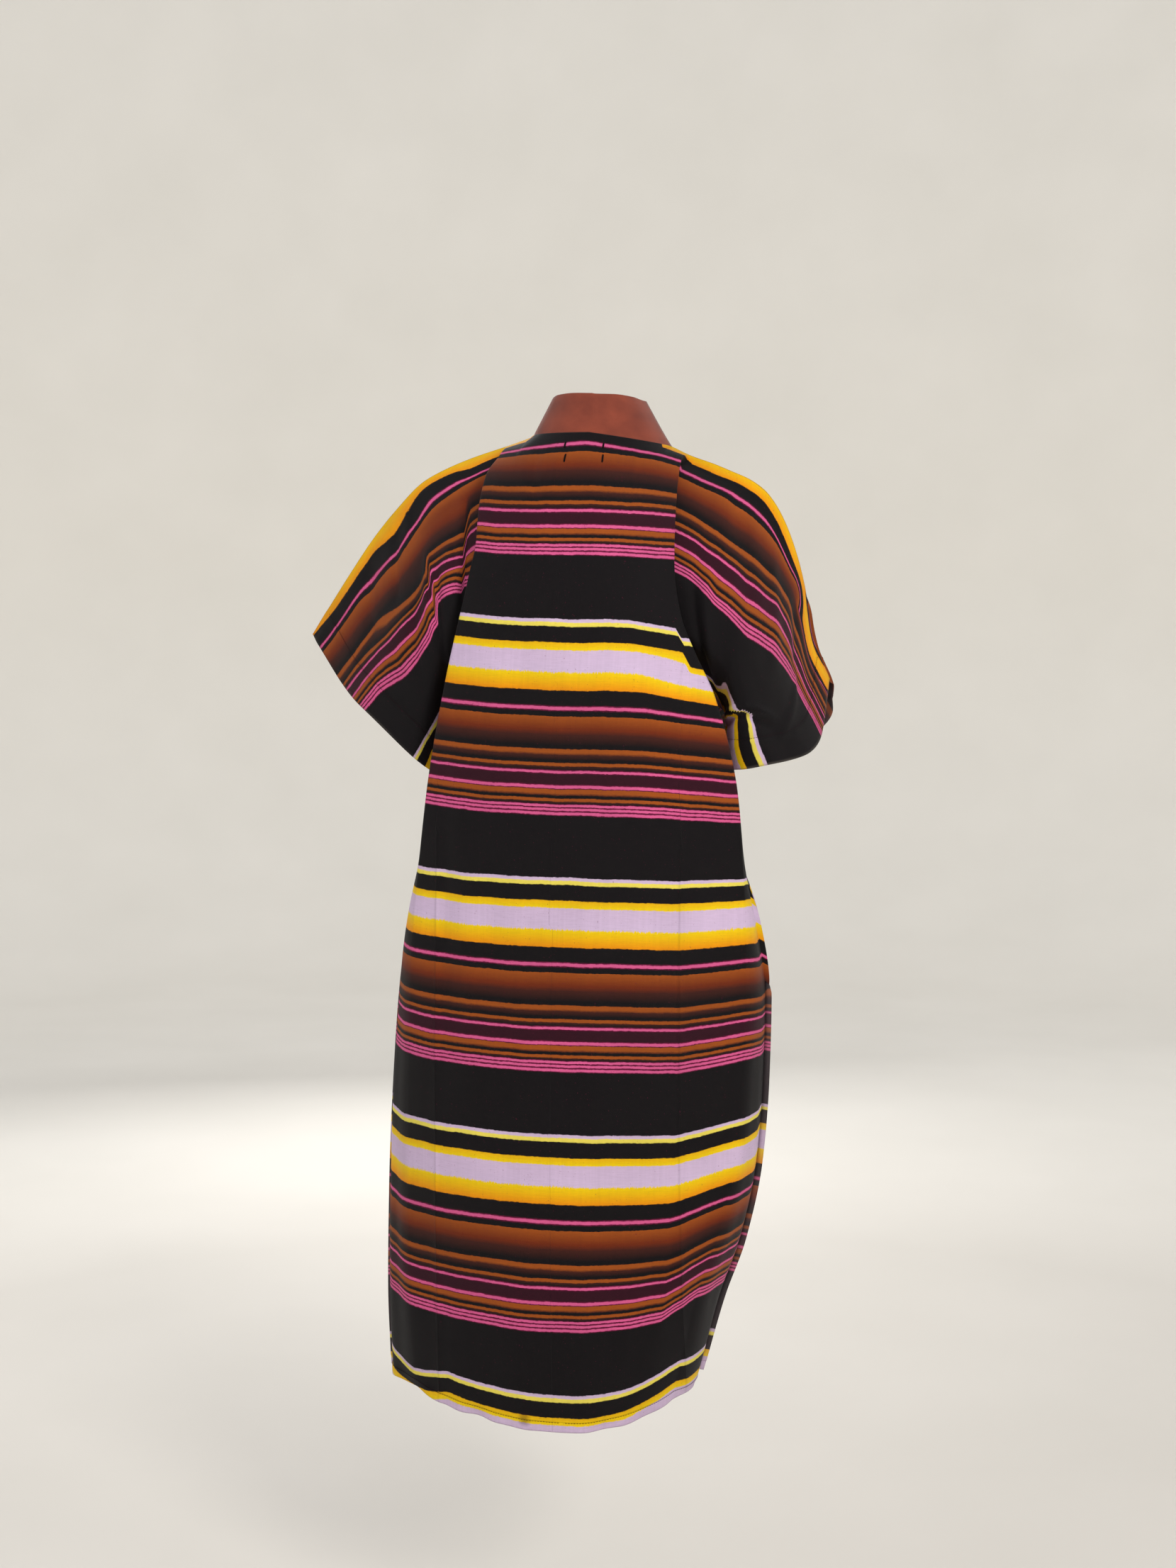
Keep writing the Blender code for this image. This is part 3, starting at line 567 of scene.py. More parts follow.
# How many units higher the stripes of the back's body sit towards each side: none up to `start`,
# then more and more up to `units` at the fold, and from there on to `seam` at the side seam.
DRIFT = {
    LEFT: table(
        "down   start units  seam",
        (0.000, 0.50, 0.0, 0.0),
        (0.200, 0.30, 0.0, 0.0),
        (0.450, 0.30, -5.0, 0.0),
        (0.500, 0.30, -8.0, 0.0),
        (0.600, 0.30, -4.0, 0.0),
        (0.750, 0.30, -2.0, 0.0),
        (0.980, 0.40, -4.0, 0.0),
        (1.040, 0.75, -18.0, 0.0),
        (1.098, 0.75, -20.0, 0.0),
    ),
    RIGHT: table(
        "down   start units  seam",
        (0.000, 0.50, 0.0, 0.0),
        (0.015, 0.50, -2.0, 0.0),
        (0.030, 0.50, -8.0, 0.0),
        (0.060, 0.50, -5.0, 0.0),
        (0.100, 0.50, 0.0, 0.0),
        (0.180, 0.50, 0.0, 0.0),
        (0.220, 0.50, -8.0, 0.0),
        (0.250, 0.50, -9.0, 0.0),
        (0.262, 0.50, -16.0, 0.0),
        (0.275, 0.50, -24.0, 0.0),
        (0.294, 0.50, -16.0, 0.0),
        (0.312, 0.50, -11.0, 0.0),
        (0.360, 0.50, -7.0, 0.0),
        (0.420, 0.50, -3.0, 0.0),
        (0.470, 0.65, 4.0, 0.0),
        (0.500, 0.65, 8.0, 0.0),
        (0.600, 0.65, 9.0, 5.0),
        (0.700, 0.65, 13.0, 12.0),
        (0.780, 0.65, 16.0, 19.0),
        (0.900, 0.70, 20.0, 25.0),
        (0.980, 0.76, 20.0, 23.0),
        (1.050, 0.60, 12.0, 15.0),
        (1.098, 0.60, 8.0, 10.0),
    ),
}
NECK_SLIP = 14  # units by which they sit higher along the back neck edge, so that no gold shows
NECK_SLIP_END = 0.745  # `across`, where that ends
NECK_SLIP_SPAN = 0.05  # and how far before that it is whole
NECK_SLIP_DEPTH = 0.024  # how far down the cloth it reaches
NECK_SLIP_FALL = 0.012  # and the length over which it dies away

# Small tucks in the back, where cloth has folded under along a line: the stripes step by `units`
# there, and take them back over `reach` beyond it.
TUCKED = table(
    "side   across0 down0  across1 down1  units  blur   reach",
    (LEFT, 2.148, 0.055, 2.150, 0.205, -12.0, 0.004, 0.60),
    (LEFT, 2.148, 0.050, 2.150, 0.138, -14.0, 0.004, 0.60),
    (LEFT, 2.345, 0.080, 2.270, 0.250, -30.0, 0.022, 1.10),
    (RIGHT, 2.840, 0.144, 2.327, 0.312, 22.0, 0.008, 2.00),
    (RIGHT, 0.950, 0.200, 0.880, 0.280, -12.0, 0.006, 1.06),
)
TUCKED_ENDS = 5  # a tuck dies away over its length divided by this, at each end

BLACK = (14, 11, 13)
LILAC = (194, 171, 198)
PALE_LILAC = (195, 174, 202)
PALE_YELLOW = (219, 202, 84)
YELLOW = (222, 191, 12)
GOLD = (218, 166, 10)
ORANGE = (219, 134, 8)
PINK = (200, 84, 132)
MAGENTA = (84, 10, 44)
BROWN = (144, 71, 22)
RUST = (101, 38, 14)
RUST_DARK = (58, 26, 20)
PLUM = (45, 11, 24)
# Painted sheen: a bluish black streaked into the black stripes.
SHEEN_BLUE_BLACK = (26, 25, 34)
TERRACOTTA = (133, 59, 38)
TERRACOTTA_DARK = (106, 43, 27)
REVERSE = (120, 108, 112)
WORN_INK = (150, 140, 132)
THREAD_COLOUR = (24, 16, 20)
LABEL_THREAD_COLOUR = (9, 5, 6)
LABEL_THREAD_DARK = (16, 8, 9)
FLOOR_COLOUR = (203, 198, 190)
# Painted light: the floor is painted paler towards the wall, where the lamps' light falls off.
WALL_PAINTED_LIGHT_COLOUR = (246, 242, 234)
WHITE = (255, 255, 255)
OFF_WHITE = (246, 246, 245)

# Stripes down one repeat: where each starts and ends, and its colours there.
STRIPES = (
    (0, 1.5, BLACK, BLACK),
    (1.5, 6, LILAC, LILAC),
    (6, 11.6, PALE_YELLOW, PALE_YELLOW),
    (11.6, 33.4, BLACK, BLACK),
    (33.4, 43.8, GOLD, YELLOW),
    (43.8, 73.5, LILAC, PALE_LILAC),
    (73.5, 98, YELLOW, ORANGE),
    (98, 118.6, BLACK, BLACK),
    (118.6, 120.2, MAGENTA, MAGENTA),
    (120.2, 124.7, PINK, PINK),
    (124.7, 126.3, MAGENTA, MAGENTA),
    (126.5, 134, BLACK, BLACK),
    (134, 153, BROWN, RUST),
    (153, 161.5, RUST, RUST_DARK),
    (161.5, 176, RUST_DARK, BLACK),
    (176, 181.2, BLACK, BLACK),
    (181.2, 186, BROWN, BROWN),
    (186, 190.5, BROWN, RUST_DARK),
    (190.5, 197.5, RUST_DARK, BLACK),
    (197.5, 201.1, BLACK, BLACK),
    (201.1, 205.8, BROWN, BROWN),
    (205.8, 211, RUST_DARK, BLACK),
    (211, 212.6, MAGENTA, MAGENTA),
    (212.6, 216.1, PINK, PINK),
    (216.1, 218.6, MAGENTA, PLUM),
    (218.6, 232.3, PLUM, PLUM),
    (232.3, 233.8, MAGENTA, MAGENTA),
    (233.8, 238.1, PINK, PINK),
    (238.1, 239.4, MAGENTA, MAGENTA),
    (239.4, 244.4, BROWN, BROWN),
    (244.4, 248.6, BROWN, RUST_DARK),
    (248.6, 252.6, BLACK, BLACK),
    (252.6, 256.9, BROWN, BROWN),
    (256.9, 260.4, RUST_DARK, BLACK),
    (260.4, 261.4, MAGENTA, MAGENTA),
    (261.4, 264.8, PINK, PINK),
    (264.8, 266.8, MAGENTA, MAGENTA),
    (266.8, 270.2, PINK, PINK),
    (270.2, 272.5, MAGENTA, MAGENTA),
    (272.5, 276.3, PINK, PINK),
    (276.3, 278.6, MAGENTA, BLACK),
    (278.6, REPEAT, BLACK, BLACK),
)
STRIPES_PER_RAMP = 12
HEM_MARK = (0.042, 1.087, 0.5)  # a small stain at the back's hem: its side, its depth, its panel
STRIPE_BLUR = 0.45  # half width of the blur between stripes, in units

# Noises of the cloth: their cells per metre across it, down it and between panels, their detail
# and their roughness.
NOISES = {
    "tremor": ((260, 500, 1), 3.0, 0.6),
    "sway": ((28, 10, 1), 1.0, 0.5),
    "drag": ((1500, 150, 1), 2.0, 0.6),
    "streaks": ((420, 9, 1), 3.0, 0.6),
    "broad": ((9, 7, 1), 3.0, 0.5),
    "slub": ((90, 1500, 1), 2.0, 0.5),
    "flecks": ((620, 520, 1), 1.0, 0.5),
    "stray": ((160, 160, 160), 2.0, 0.5),
    "collar grain": ((900, 900, 900), 3.0, 0.7),
    "collar shade": ((30, 45, 30), 3.0, 0.5),
}
TWIST_NOISE = 2500.0  # cells per metre along the threads
FLOOR_NOISE = 3.0
TREMOR = 2.6  # units by which the edges of the stripes tremble
SWAY = 3.0
DRAG = 10.0  # units by which ink is dragged where gold meets lilac
DRAG_EDGES = ((73.5, 1.0), (42, 0.35))  # those places in the repeat, and their share of it
STAIN_EDGE = 0.006  # how uneven the stain's edge is

# Spans of a noise or a distance: from, to, and the shares they give there, or 0 and 1.
DRAG_SPAN = (2.0, 7.0, 1.0, 0.0)
# Painted sheen: where the streaks turn the black bluish.
BLUE_SHEEN_SPAN = (0.45, 0.75, 0.0, 0.55)
STREAKED = (0.35, 0.70, 0.0, 0.06)
BROAD_SHADE = (0.3, 0.7, 0.90, 1.06)
SLUB_SHADE = (0.3, 0.7, 0.95, 1.05)
FLECKED = (0.735, 0.77, 0.0, 0.5)
# Painted shade: the print is darkened towards black along the pressed lines.
PRESSED_SHADE_SPAN = (0.0004, 0.0016, 0.12, 0.0)
PRESSED_FOLD = (0.0, 0.0035, 1.0, 0.0)
WORN_HEM = (0.0, 0.10, 0.22, 0.0)
WORN_PLACES = (0.4, 0.6)
STAINED = (0.002, 0.009, 0.55, 0.0)
PRINT_ROUGHNESS = (0.3, 0.7, 0.62, 0.74)
STITCH_GROOVE = (0.0, 0.10)
COLLAR_SHADE = (0.3, 0.75)
COLLAR_GRAIN = (0.45, 0.72, 0.0, 0.30)
COLLAR_ROUGHNESS = (0.3, 0.7, 0.73, 0.83)
THREAD_TWIST = (0.4, 0.6)
# Distances from the middle over which the floor is painted paler, where the light falls off.
LIGHT_FALLOFF_SPAN = (1.7, 3.5)

# The pitch of the weave, and the relief of the surfaces.
PRINT_WEAVE = 0.0008
COLLAR_WEAVE = 0.0007
WEAVE_STRAY = 2.4  # how far a thread strays, in radians of its pitch
PRINT_WEAVE_RELIEF = 0.00006
COLLAR_WEAVE_RELIEF = 0.00005
COLLAR_GRAIN_RELIEF = 0.00018
FOLD_RELIEF = 0.0007
GROOVE_RELIEF = 0.0005
THREAD_RELIEF = 0.0001
REVERSE_FADE = 0.22  # how far the print's reverse has gone towards its own colour

# The camera: where it stands from the neck, and how it looks.
CAMERA_TURN = math.radians(10)
CAMERA_DISTANCE = 2.40
CAMERA_OFFSET = 0.0162
CAMERA_HEIGHT = -0.181
CAMERA_PITCH = math.radians(4.8)
CAMERA_LENS = 49.44

# The studio: a flat floor that curves up to a wall, a pale world and three lamps.
FLOOR_LEVEL = -1.40
FLOOR_SIDES = 64
FLOOR_RADII = np.concatenate([[0.2], np.linspace(1, 4.4, 12)])
CURVE_RADIUS = 1.4
CURVE_STEPS = np.linspace(0, np.pi / 2, 14)[1:]
WALL_TOP = 4.0
WORLD_COLOUR = (0.93, 0.95, 1.0, 1)
WORLD_STRENGTH = 0.75
LAMP_AIM = (0.0, 0.0, -0.5)
LAMPS = (  # name, place, size, power, colour and glare
    ("main", (-1.7, 2.3, 0.9), 0.9, 62, (1.0, 0.98, 0.95), 1.0),
    ("fill", (2.2, 1.8, 0.2), 1.6, 16, (0.94, 0.97, 1.0), 1.0),
    ("front", (0.9, -2.5, 0.3), 1.6, 48, (1.0, 1.0, 1.0), 0.1),
)


def curve(keys, values, at):
    """Values between keys, on a smooth curve that never overshoots its table."""
    steps = np.diff(keys)
    rises = np.diff(values) / steps
    slopes = np.concatenate([rises[:1], np.zeros(len(keys) - 2), rises[-1:]])
    same_way = rises[:-1] * rises[1:] > 0
    before = np.where(same_way, rises[:-1], 1)
    after = np.where(same_way, rises[1:], 1)
    weight_before = 2 * steps[1:] + steps[:-1]
    weight_after = steps[1:] + 2 * steps[:-1]
    means = (weight_before + weight_after) / (weight_before / before + weight_after / after)
    slopes[1:-1] = np.where(same_way, means, 0)
    at = np.clip(at, keys[0], keys[-1])
    k = np.clip(np.searchsorted(keys, at, side="right") - 1, 0, len(keys) - 2)
    t = (at - keys[k]) / steps[k]
    return (
        values[k] * (2 * t**3 - 3 * t**2 + 1)
        + values[k + 1] * (3 * t**2 - 2 * t**3)
        + steps[k] * slopes[k] * (t**3 - 2 * t**2 + t)
        + steps[k] * slopes[k + 1] * (t**3 - t**2)
    )


def read(columns, name, at):
    return curve(columns["down"], columns[name], at)


def points_of(x, y, z):
    return np.stack(np.broadcast_arrays(x, y, z), axis=-1)


def smoothstep(t):
    t = np.clip(t, 0, 1)
    return t * t * (3 - 2 * t)


def faded(share, ends):
    """1 along a line, dying away to 0 at its two ends."""
    return smoothstep(share * ends) * smoothstep((1 - share) * ends)


def ripples(waves, x, z):
    """A sum of sine waves, each a row of its height, turns along X and Z, and start."""
    return sum(height * np.sin(turn_x * x + turn_z * z + at) for height, turn_x, turn_z, at in waves)


def unit(vectors):
    return vectors / np.maximum(np.linalg.norm(vectors, axis=-1, keepdims=True), 1e-12)


def top_seam(side, share):
    """Points of the shoulder and sleeve-top seam at shares of its length from the neck."""
    corners = points_of(*(TOP_SEAM[side][axis] for axis in "xyz"))
    lengths = np.linalg.norm(np.diff(corners, axis=0), axis=1)
    keys = np.concatenate([[0], np.cumsum(lengths) / lengths.sum()])
    return points_of(*(curve(keys, corners[:, axis], share) for axis in range(3)))


def neck_depth(face, across):
    """Cloth cut away at the neck, measured down from the shoulder seam's line."""
    inward = np.clip(1 - across / NECK_EDGE, 0, 1)
    if face == BACK:
        return BACK_NECK_DEPTH * (1 - (1 - inward) ** 2)
    return FRONT_NECK_DEPTH * inward


def level(x, lag, down):
    """Height of a point on the body's rows, which tip a little towards the lower shoulder."""
    return TOP_LEVEL - down + read(CENTRE, "tilt", down) * (x - read(CENTRE, "x", down)) - lag


def fold_point(side, face, down):
    fold = FOLD[side, face]
    x = read(fold, "x", down)
    return points_of(x, read(fold, "y", down), level(x, read(fold, "lag", down), down))


def side_point(side, face, down):
    """The tuck down to the underarm point, and the side seam below it."""
    columns = {}
    for name in ("x", "y", "lag"):
        tuck = read(TUCK[side, face], name, down)
        seam = read(SIDE_SEAM[side], name, down)
        columns[name] = np.where(down < SLEEVE_DEPTH, tuck, seam)
    return points_of(columns["x"], columns["y"], level(columns["x"], columns["lag"], down))


def body_point(side, face, across, down):
    """The body of a panel before its top edge is fitted, for `across` from 0 to 2."""
    fold = fold_point(side, face, down)
    end = side_point(side, face, down)
    centre_x = read(CENTRE, "x", down)
    centre_y = read(CENTRE, "back_y" if face == BACK else "front_y", down)
    centre = points_of(centre_x, centre_y, level(centre_x, 0, down))
    out = np.clip(across, 0, 1)[..., None]
    panel = centre + (fold - centre) * out ** np.array([1, PANEL_BOW, PANEL_SAG])
    # From the fold to the tuck or the side seam: a smooth turn that arrives along Y.
    t = np.clip(across - 1, 0, 1)[..., None]
    reach = np.linalg.norm(end - fold, axis=-1) * TURN_REACH
    angle = np.radians(read(FOLD_ANGLE, "degrees", down))
    leave = points_of(side * np.cos(angle), -face * np.sin(angle), 0 * angle) * reach[..., None]
    arrive = points_of(0 * reach, -face * reach, 0 * reach)
    turn = (
        fold * (2 * t**3 - 3 * t**2 + 1)
        + end * (3 * t**2 - 2 * t**3)
        + leave * (t**3 - 2 * t**2 + t)
        + arrive * (t**3 - t**2)
    )
    return np.where((across <= 1)[..., None], panel, turn)


def back_neck_edge(side, inward):
    """The back neck edge, a shallow scoop between the shoulders."""
    corner = top_seam(side, np.zeros_like(inward))
    middle = np.array([CENTRE["x"][0], 0, TOP_LEVEL - BACK_NECK_DEPTH])
    place = corner + (middle - corner) * inward[..., None]
    place[..., 1] = NECK_BACK_Y * np.sqrt(1 - (1 - inward) ** 2)
    return place


def front_neck_edge(side, across, inward):
    """The V neck edge, which lies in the body's own surface and lifts to the shoulder seam."""
    corner = np.full_like(across, NECK_EDGE)
    lift = top_seam(side, 0 * corner) - body_point(side, FRONT, corner, 0 * corner)
    share = np.clip(1 - inward / FRONT_NECK_LIFT, 0, 1) ** 2
    return body_point(side, FRONT, across, neck_depth(FRONT, across)) + lift * share[..., None]


def top_edge(side, face, across):
    """The panel's upper edge: the neck edge, then the shoulder seam up to the tuck."""
    share = np.interp(across, (NECK_EDGE, 1, 2), (0, FOLD_START[side], TUCK_START[side]))
    inward = np.clip(1 - across / NECK_EDGE, 0, 1)
    if face == BACK:
        neck = back_neck_edge(side, inward)
    else:
        neck = front_neck_edge(side, across, inward)
    return np.where((across < NECK_EDGE)[..., None], neck, top_seam(side, share))


def hem_waves(across, down):
    """Soft waves that grow towards the hem, out and in from the body's surface."""
    grown = smoothstep((down - WAVE_START) / (BODY_LENGTH - WAVE_START))
    free = np.sin(np.pi * np.clip(across / 2, 0, 1))
    return WAVE_HEIGHT * grown * free * np.sin(2 * np.pi * WAVES * across / 2)


def fitted_body(side, face, across, down):
    """The body of a panel, hung from its top edge."""
    depth = neck_depth(face, across)
    fit = top_edge(side, face, across) - body_point(side, face, across, depth)
    ease = np.clip(1 - (down - depth) / TOP_EASE, 0, 1) ** 2
    place = body_point(side, face, across, down) + fit * ease[..., None]
    place[..., 1] += face * hem_waves(across, down)
    return place


def sleeve_hem(side, face, down):
    return points_of(*(read(SLEEVE_HEM[side, face], axis, down) for axis in "xyz"))


def sleeve_point(side, face, across, down):
    """A half sleeve, spanned between the tuck, its hem, and its seams above and below."""
    out = np.clip(across - 2, 0, 1)
    low = np.clip(down / SLEEVE_DEPTH, 0, 1)
    full = SLEEVE_DEPTH * np.ones_like(low)
    inner = fitted_body(side, face, 2 * np.ones_like(low), down)
    outer = sleeve_hem(side, face, down)
    upper = top_seam(side, TUCK_START[side] + (1 - TUCK_START[side]) * out)
    inner_top = top_seam(side, TUCK_START[side] * np.ones_like(out))
    outer_top = top_seam(side, np.ones_like(out))
    inner_end = side_point(side, face, full)
    outer_end = sleeve_hem(side, face, full)
    out, low = out[..., None], low[..., None]
    lower = inner_end + (outer_end - inner_end) * out
    corners = (
        inner_top * (1 - out) * (1 - low)
        + outer_top * out * (1 - low)
        + inner_end * (1 - out) * low
        + outer_end * out * low
    )
    place = inner * (1 - out) + outer * out + upper * (1 - low) + lower * low - corners
    middle = np.sin(np.pi * out) * np.sin(np.pi * low)
    # Greatest a quarter of the way out, where 256/27 makes it whole, and at the underarm seam,
    # where both panels share it.
    clear = UNDERARM_EASE * smoothstep(low) * out * (1 - out) ** 3 * 256 / 27
    place = place + middle * np.array([side * SLEEVE_SIDE_PUFF, face * SLEEVE_PUFF, 0])
    return place + clear * np.array([side, 0, 0])


def seam_rise(across, down):
    """How far a panel stands off the plane of its seams: least at the seams themselves."""
    from_top = np.hypot(down, np.clip(NECK_EDGE - across, 0, None) * SIDE_SPAN)
    from_side = np.hypot(
        np.clip(2 - across, 0, None) * SIDE_SPAN, np.clip(SLEEVE_DEPTH - down, 0, None)
    )
    near = smoothstep(np.minimum(from_top, from_side) / LIP_REACH)
    return SEAM_GAP / 2 + (SEAM_LIP - SEAM_GAP / 2) * near


def panel_point(side, face, across, down):
    """A place on a panel's outer surface, smooth as yet."""
    across, down = np.broadcast_arrays(np.asarray(across, float), np.asarray(down, float))
    on_sleeve = (across > 2)[..., None]
    place = np.where(
        on_sleeve,
        sleeve_point(side, face, across, down),
        fitted_body(side, face, np.clip(across, 0, 2), down),
    )
    place[..., 1] += face * seam_rise(across, down)
    return place


def panel_normal(side, face, across, down):
    """The outward direction of a panel's smooth surface."""
    across, down = np.broadcast_arrays(np.asarray(across, float), np.asarray(down, float))
    # Steps stay on one side of the corners in `across` and off the surface's edges.
    base = np.floor(np.clip(across, 0, 3 - 1e-6))
    low_across = np.clip(across - NORMAL_STEP, base, base + 1 - 2 * NORMAL_STEP)
    low_down = np.clip(down - NORMAL_STEP, 0, BODY_LENGTH - 2 * NORMAL_STEP)
    low_down = np.where(across > 2, np.minimum(low_down, SLEEVE_DEPTH - 2 * NORMAL_STEP), low_down)
    low_down = np.maximum(low_down, neck_depth(face, across))
    out = panel_point(side, face, low_across + 2 * NORMAL_STEP, down)
    out = out - panel_point(side, face, low_across, down)
    fall = panel_point(side, face, across, low_down + 2 * NORMAL_STEP)
    fall = fall - panel_point(side, face, across, low_down)
    return unit(np.cross(out, fall) * side * face)


def along_path(places, path):
    """Distance of each place from a path, and the share of the path at its nearest point."""
    steps = np.diff(path, axis=0)
    away = places[:, None] - path[:-1]
    t = np.clip((away * steps).sum(-1) / (steps * steps).sum(-1), 0, 1)
    distance = np.linalg.norm(away - t[..., None] * steps, axis=-1)
    nearest = distance.argmin(axis=1)
    rows = np.arange(len(places))
    return distance[rows, nearest], (nearest + t[rows, nearest]) / len(steps)


def crease_relief(face, places):
    """Height of the listed creases, at places on a panel's smooth surface."""
    relief = np.zeros(len(places))
    share = np.linspace(0, 1, CREASE_POINTS)
    rows = CREASES[face]
    for k in range(len(rows["side"])):
        across = rows["across0"][k] + (rows["across1"][k] - rows["across0"][k]) * share
        down = rows["down0"][k] + (rows["down1"][k] - rows["down0"][k]) * share
        width = rows["width"][k]
        path = panel_point(int(rows["side"][k]), face, across, down)
        low = path.min(axis=0) - CREASE_MARGIN * width
        high = path.max(axis=0) + CREASE_MARGIN * width
        near = np.all((places > low) & (places < high), axis=1)
        if not near.any():
            continue
        distance, at = along_path(places[near], path)
        depth = rows["depth"][k] * faded(at, CREASE_ENDS)
        relief[near] += depth * np.exp(-((distance / width) ** 2))
    return relief


def drift(side, across, down):
    """How many units higher the stripes of the back's body sit."""
    start = read(DRIFT[side], "start", down)
    share = np.clip((across - start) / (1 - start), 0, 1)
    beyond = smoothstep(across - 1)
    units = read(DRIFT[side], "units", down) * (1 - beyond) + read(DRIFT[side], "seam", down) * beyond
    neck = smoothstep((NECK_SLIP_END - across) / NECK_SLIP_SPAN)
    neck = neck * smoothstep((NECK_SLIP_DEPTH - down) / NECK_SLIP_FALL)
    return units * share + NECK_SLIP * neck


def slip(side, across, down):
    """How many units higher the stripes of the back's sleeves sit."""
    places = np.array([place for place, _ in SLIP[side]])
    values = np.array([row for _, row in SLIP[side]], float)
    cells = np.clip(np.searchsorted(SLIP_DOWN, down) - 1, 0, len(SLIP_DOWN) - 2)
    total = np.zeros_like(down)
    for k in range(len(SLIP_DOWN) - 1):
        share = np.clip((down - SLIP_DOWN[k]) / (SLIP_DOWN[k + 1] - SLIP_DOWN[k]), 0, 1)
        upper = curve(places, values[:, k], across)
        lower = curve(places, values[:, k + 1], across)
        total = np.where(cells == k, upper * (1 - share) + lower * share, total)
    return total


def tucked(side, across, down):
    """The steps of the stripes at the small tucks of the back, in units."""
    total = np.zeros_like(down)
    for tuck_side, across0, down0, across1, down1, units, blur, reach in zip(*TUCKED.values()):
        if tuck_side == side:
            t = (down - down0) / (down1 - down0)
            beyond = across - (across0 + (across1 - across0) * t)
            step = smoothstep(beyond / blur + 0.5) * np.clip(1 - beyond / reach, 0, 1)
            total = total + units * step * faded(t, TUCKED_ENDS)
    return total


def front_slip(side, across, down):
    """How many units higher the stripes of the front sit."""
    units = SEAM_SLIP * smoothstep(1 - down / SEAM_SLIP_REACH)
    if side == LEFT:
        return units
    turned = (across - TURNED_START + TURNED_SLANT * down) / (TURNED_SPAN + TURNED_SLANT * down)
    units = units + TURNED_OVER * smoothstep(turned) * smoothstep(1 - down / TURNED_DEPTH)
    step = np.maximum(FRONT_STEP, read(DRIFT[side], "seam", down))
    return units + step * smoothstep((across - FRONT_STEP_START) / FRONT_STEP_SPAN) * (across <= 2)


def stripe_units(side, face, across, down):
    """The place in the chart of stripes that lies at a place on a panel."""
    units = np.interp(down, CHART["down"], CHART["units"])
    if face == FRONT:
        return units + front_slip(side, across, down)
    moved = np.where(across > 2, slip(side, across, down), drift(side, across, down))
    return units + moved + tucked(side, across, down)


def pressed_distance(places):
    """Signed distance to the nearest pressed line, large where there is none."""
    distance = np.full(len(places), 1.0)
    for x, top in zip(PRESSED["x"], PRESSED["top"]):
        aside = places[:, 0] - x
        above = np.maximum(places[:, 2] - top, 0)
        aside = np.sign(aside) * (np.abs(aside) + above)
        distance = np.where(np.abs(aside) < np.abs(distance), aside, distance)
    return distance


def cotton_waves(places):
    """Unevenness of hanging cotton, a fraction of a millimetre high."""
    x, z = places[:, 0], places[:, 2]
    return ripples(COTTON_WAVES, x, z) * smoothstep((COTTON_WAVES_TOP - z) / COTTON_WAVES_SPAN)


def cloth_point(side, face, across, down):
    """A place on the finished cloth, creases and all, and its outward direction."""
    place = panel_point(side, face, across, down)
    normal = panel_normal(side, face, across, down)
    flat = place.reshape(-1, 3)
    relief = crease_relief(face, flat) + cotton_waves(flat)
    relief += PRESSED_HEIGHT * np.exp(-((np.abs(pressed_distance(flat)) / PRESSED_WIDTH) ** 2))
    relief = relief.reshape(place.shape[:-1])
    # Nothing lifts at the seams and the neck edge, where pieces meet.
    held = smoothstep((seam_rise(across, down) - SEAM_GAP / 2) / SEAM_LIP)
    held = held * smoothstep((down - neck_depth(face, across)) / EDGE_REACH)
    place = place + normal * (relief * held)[..., None]
    free = np.sin(np.pi * np.clip(across / 2, 0, 1)) ** 0.5
    free = free * smoothstep((down - BODY_LENGTH + ROLL_REACH) / ROLL_REACH)
    roll = ripples(HEM_ROLLS[face], place[..., 0], 0) * free
    drawn = ripples(HEM_DRAWS, place[..., 0], 0) * free
    return place + normal * roll[..., None] + np.array([0, 0, 1]) * drawn[..., None], normal


def row_depths(face, across, row):
    """Cloth length at a row: rows above the underarm start at the neck edge."""
    start = neck_depth(face, across)
    above = start + row * (SLEEVE_DEPTH - start) / SLEEVE_DEPTH
    return np.where(row < SLEEVE_DEPTH, above, row)


def stretched(stretches):
    """The ends of the cells that a table of stretches asks for."""
    parts = [np.linspace(start, end, count + 1)[:-1] for start, end, count in stretches]
    return np.concatenate([*parts, [stretches[-1][1]]])


def hem_share(across, down, from_cuff):
    """Distance from a hem as a share of its turned depth, and no more than 3."""
    body = (BODY_LENGTH - down) / BODY_TURN
    return np.minimum(np.where(across > 2, from_cuff / SLEEVE_TURN, body), 3)


def arc_lengths(places):
    """Distances along each row of a grid of places, from its first column."""
    steps = np.linalg.norm(np.diff(places, axis=1), axis=-1)
    return np.concatenate([np.zeros((len(places), 1)), np.cumsum(steps, axis=1)], axis=1)


def half_panel(side, face):
    """One side of a panel: a grid of places, and what its material reads there."""
    across, row = np.meshgrid(stretched(COLUMN_STRETCHES), stretched(ROW_STRETCHES))
    down = row_depths(face, across, row)
    smooth = panel_point(side, face, across, down)
    place, normal = cloth_point(side, face, across, down)
    length = arc_lengths(smooth)
    from_cuff = length[:, -1:] - length
    hem = hem_share(across, down, from_cuff)
    thicker = HEM_STEP * smoothstep((HEM_STEP_START - hem) / HEM_STEP_SPAN)
    place = place + normal * thicker[..., None]
    return {
        "across": across,
        "place": place,
        "normal": normal,
        "plane": smooth[..., 1] - face * seam_rise(across, down),
        "chart": stripe_units(side, face, across, down),
        "hem": hem,
        "pressed": pressed_distance(smooth.reshape(-1, 3)).reshape(down.shape),
        "cloth": np.stack([side * length, down, np.full_like(down, 0.5 * face)], axis=-1),
    }


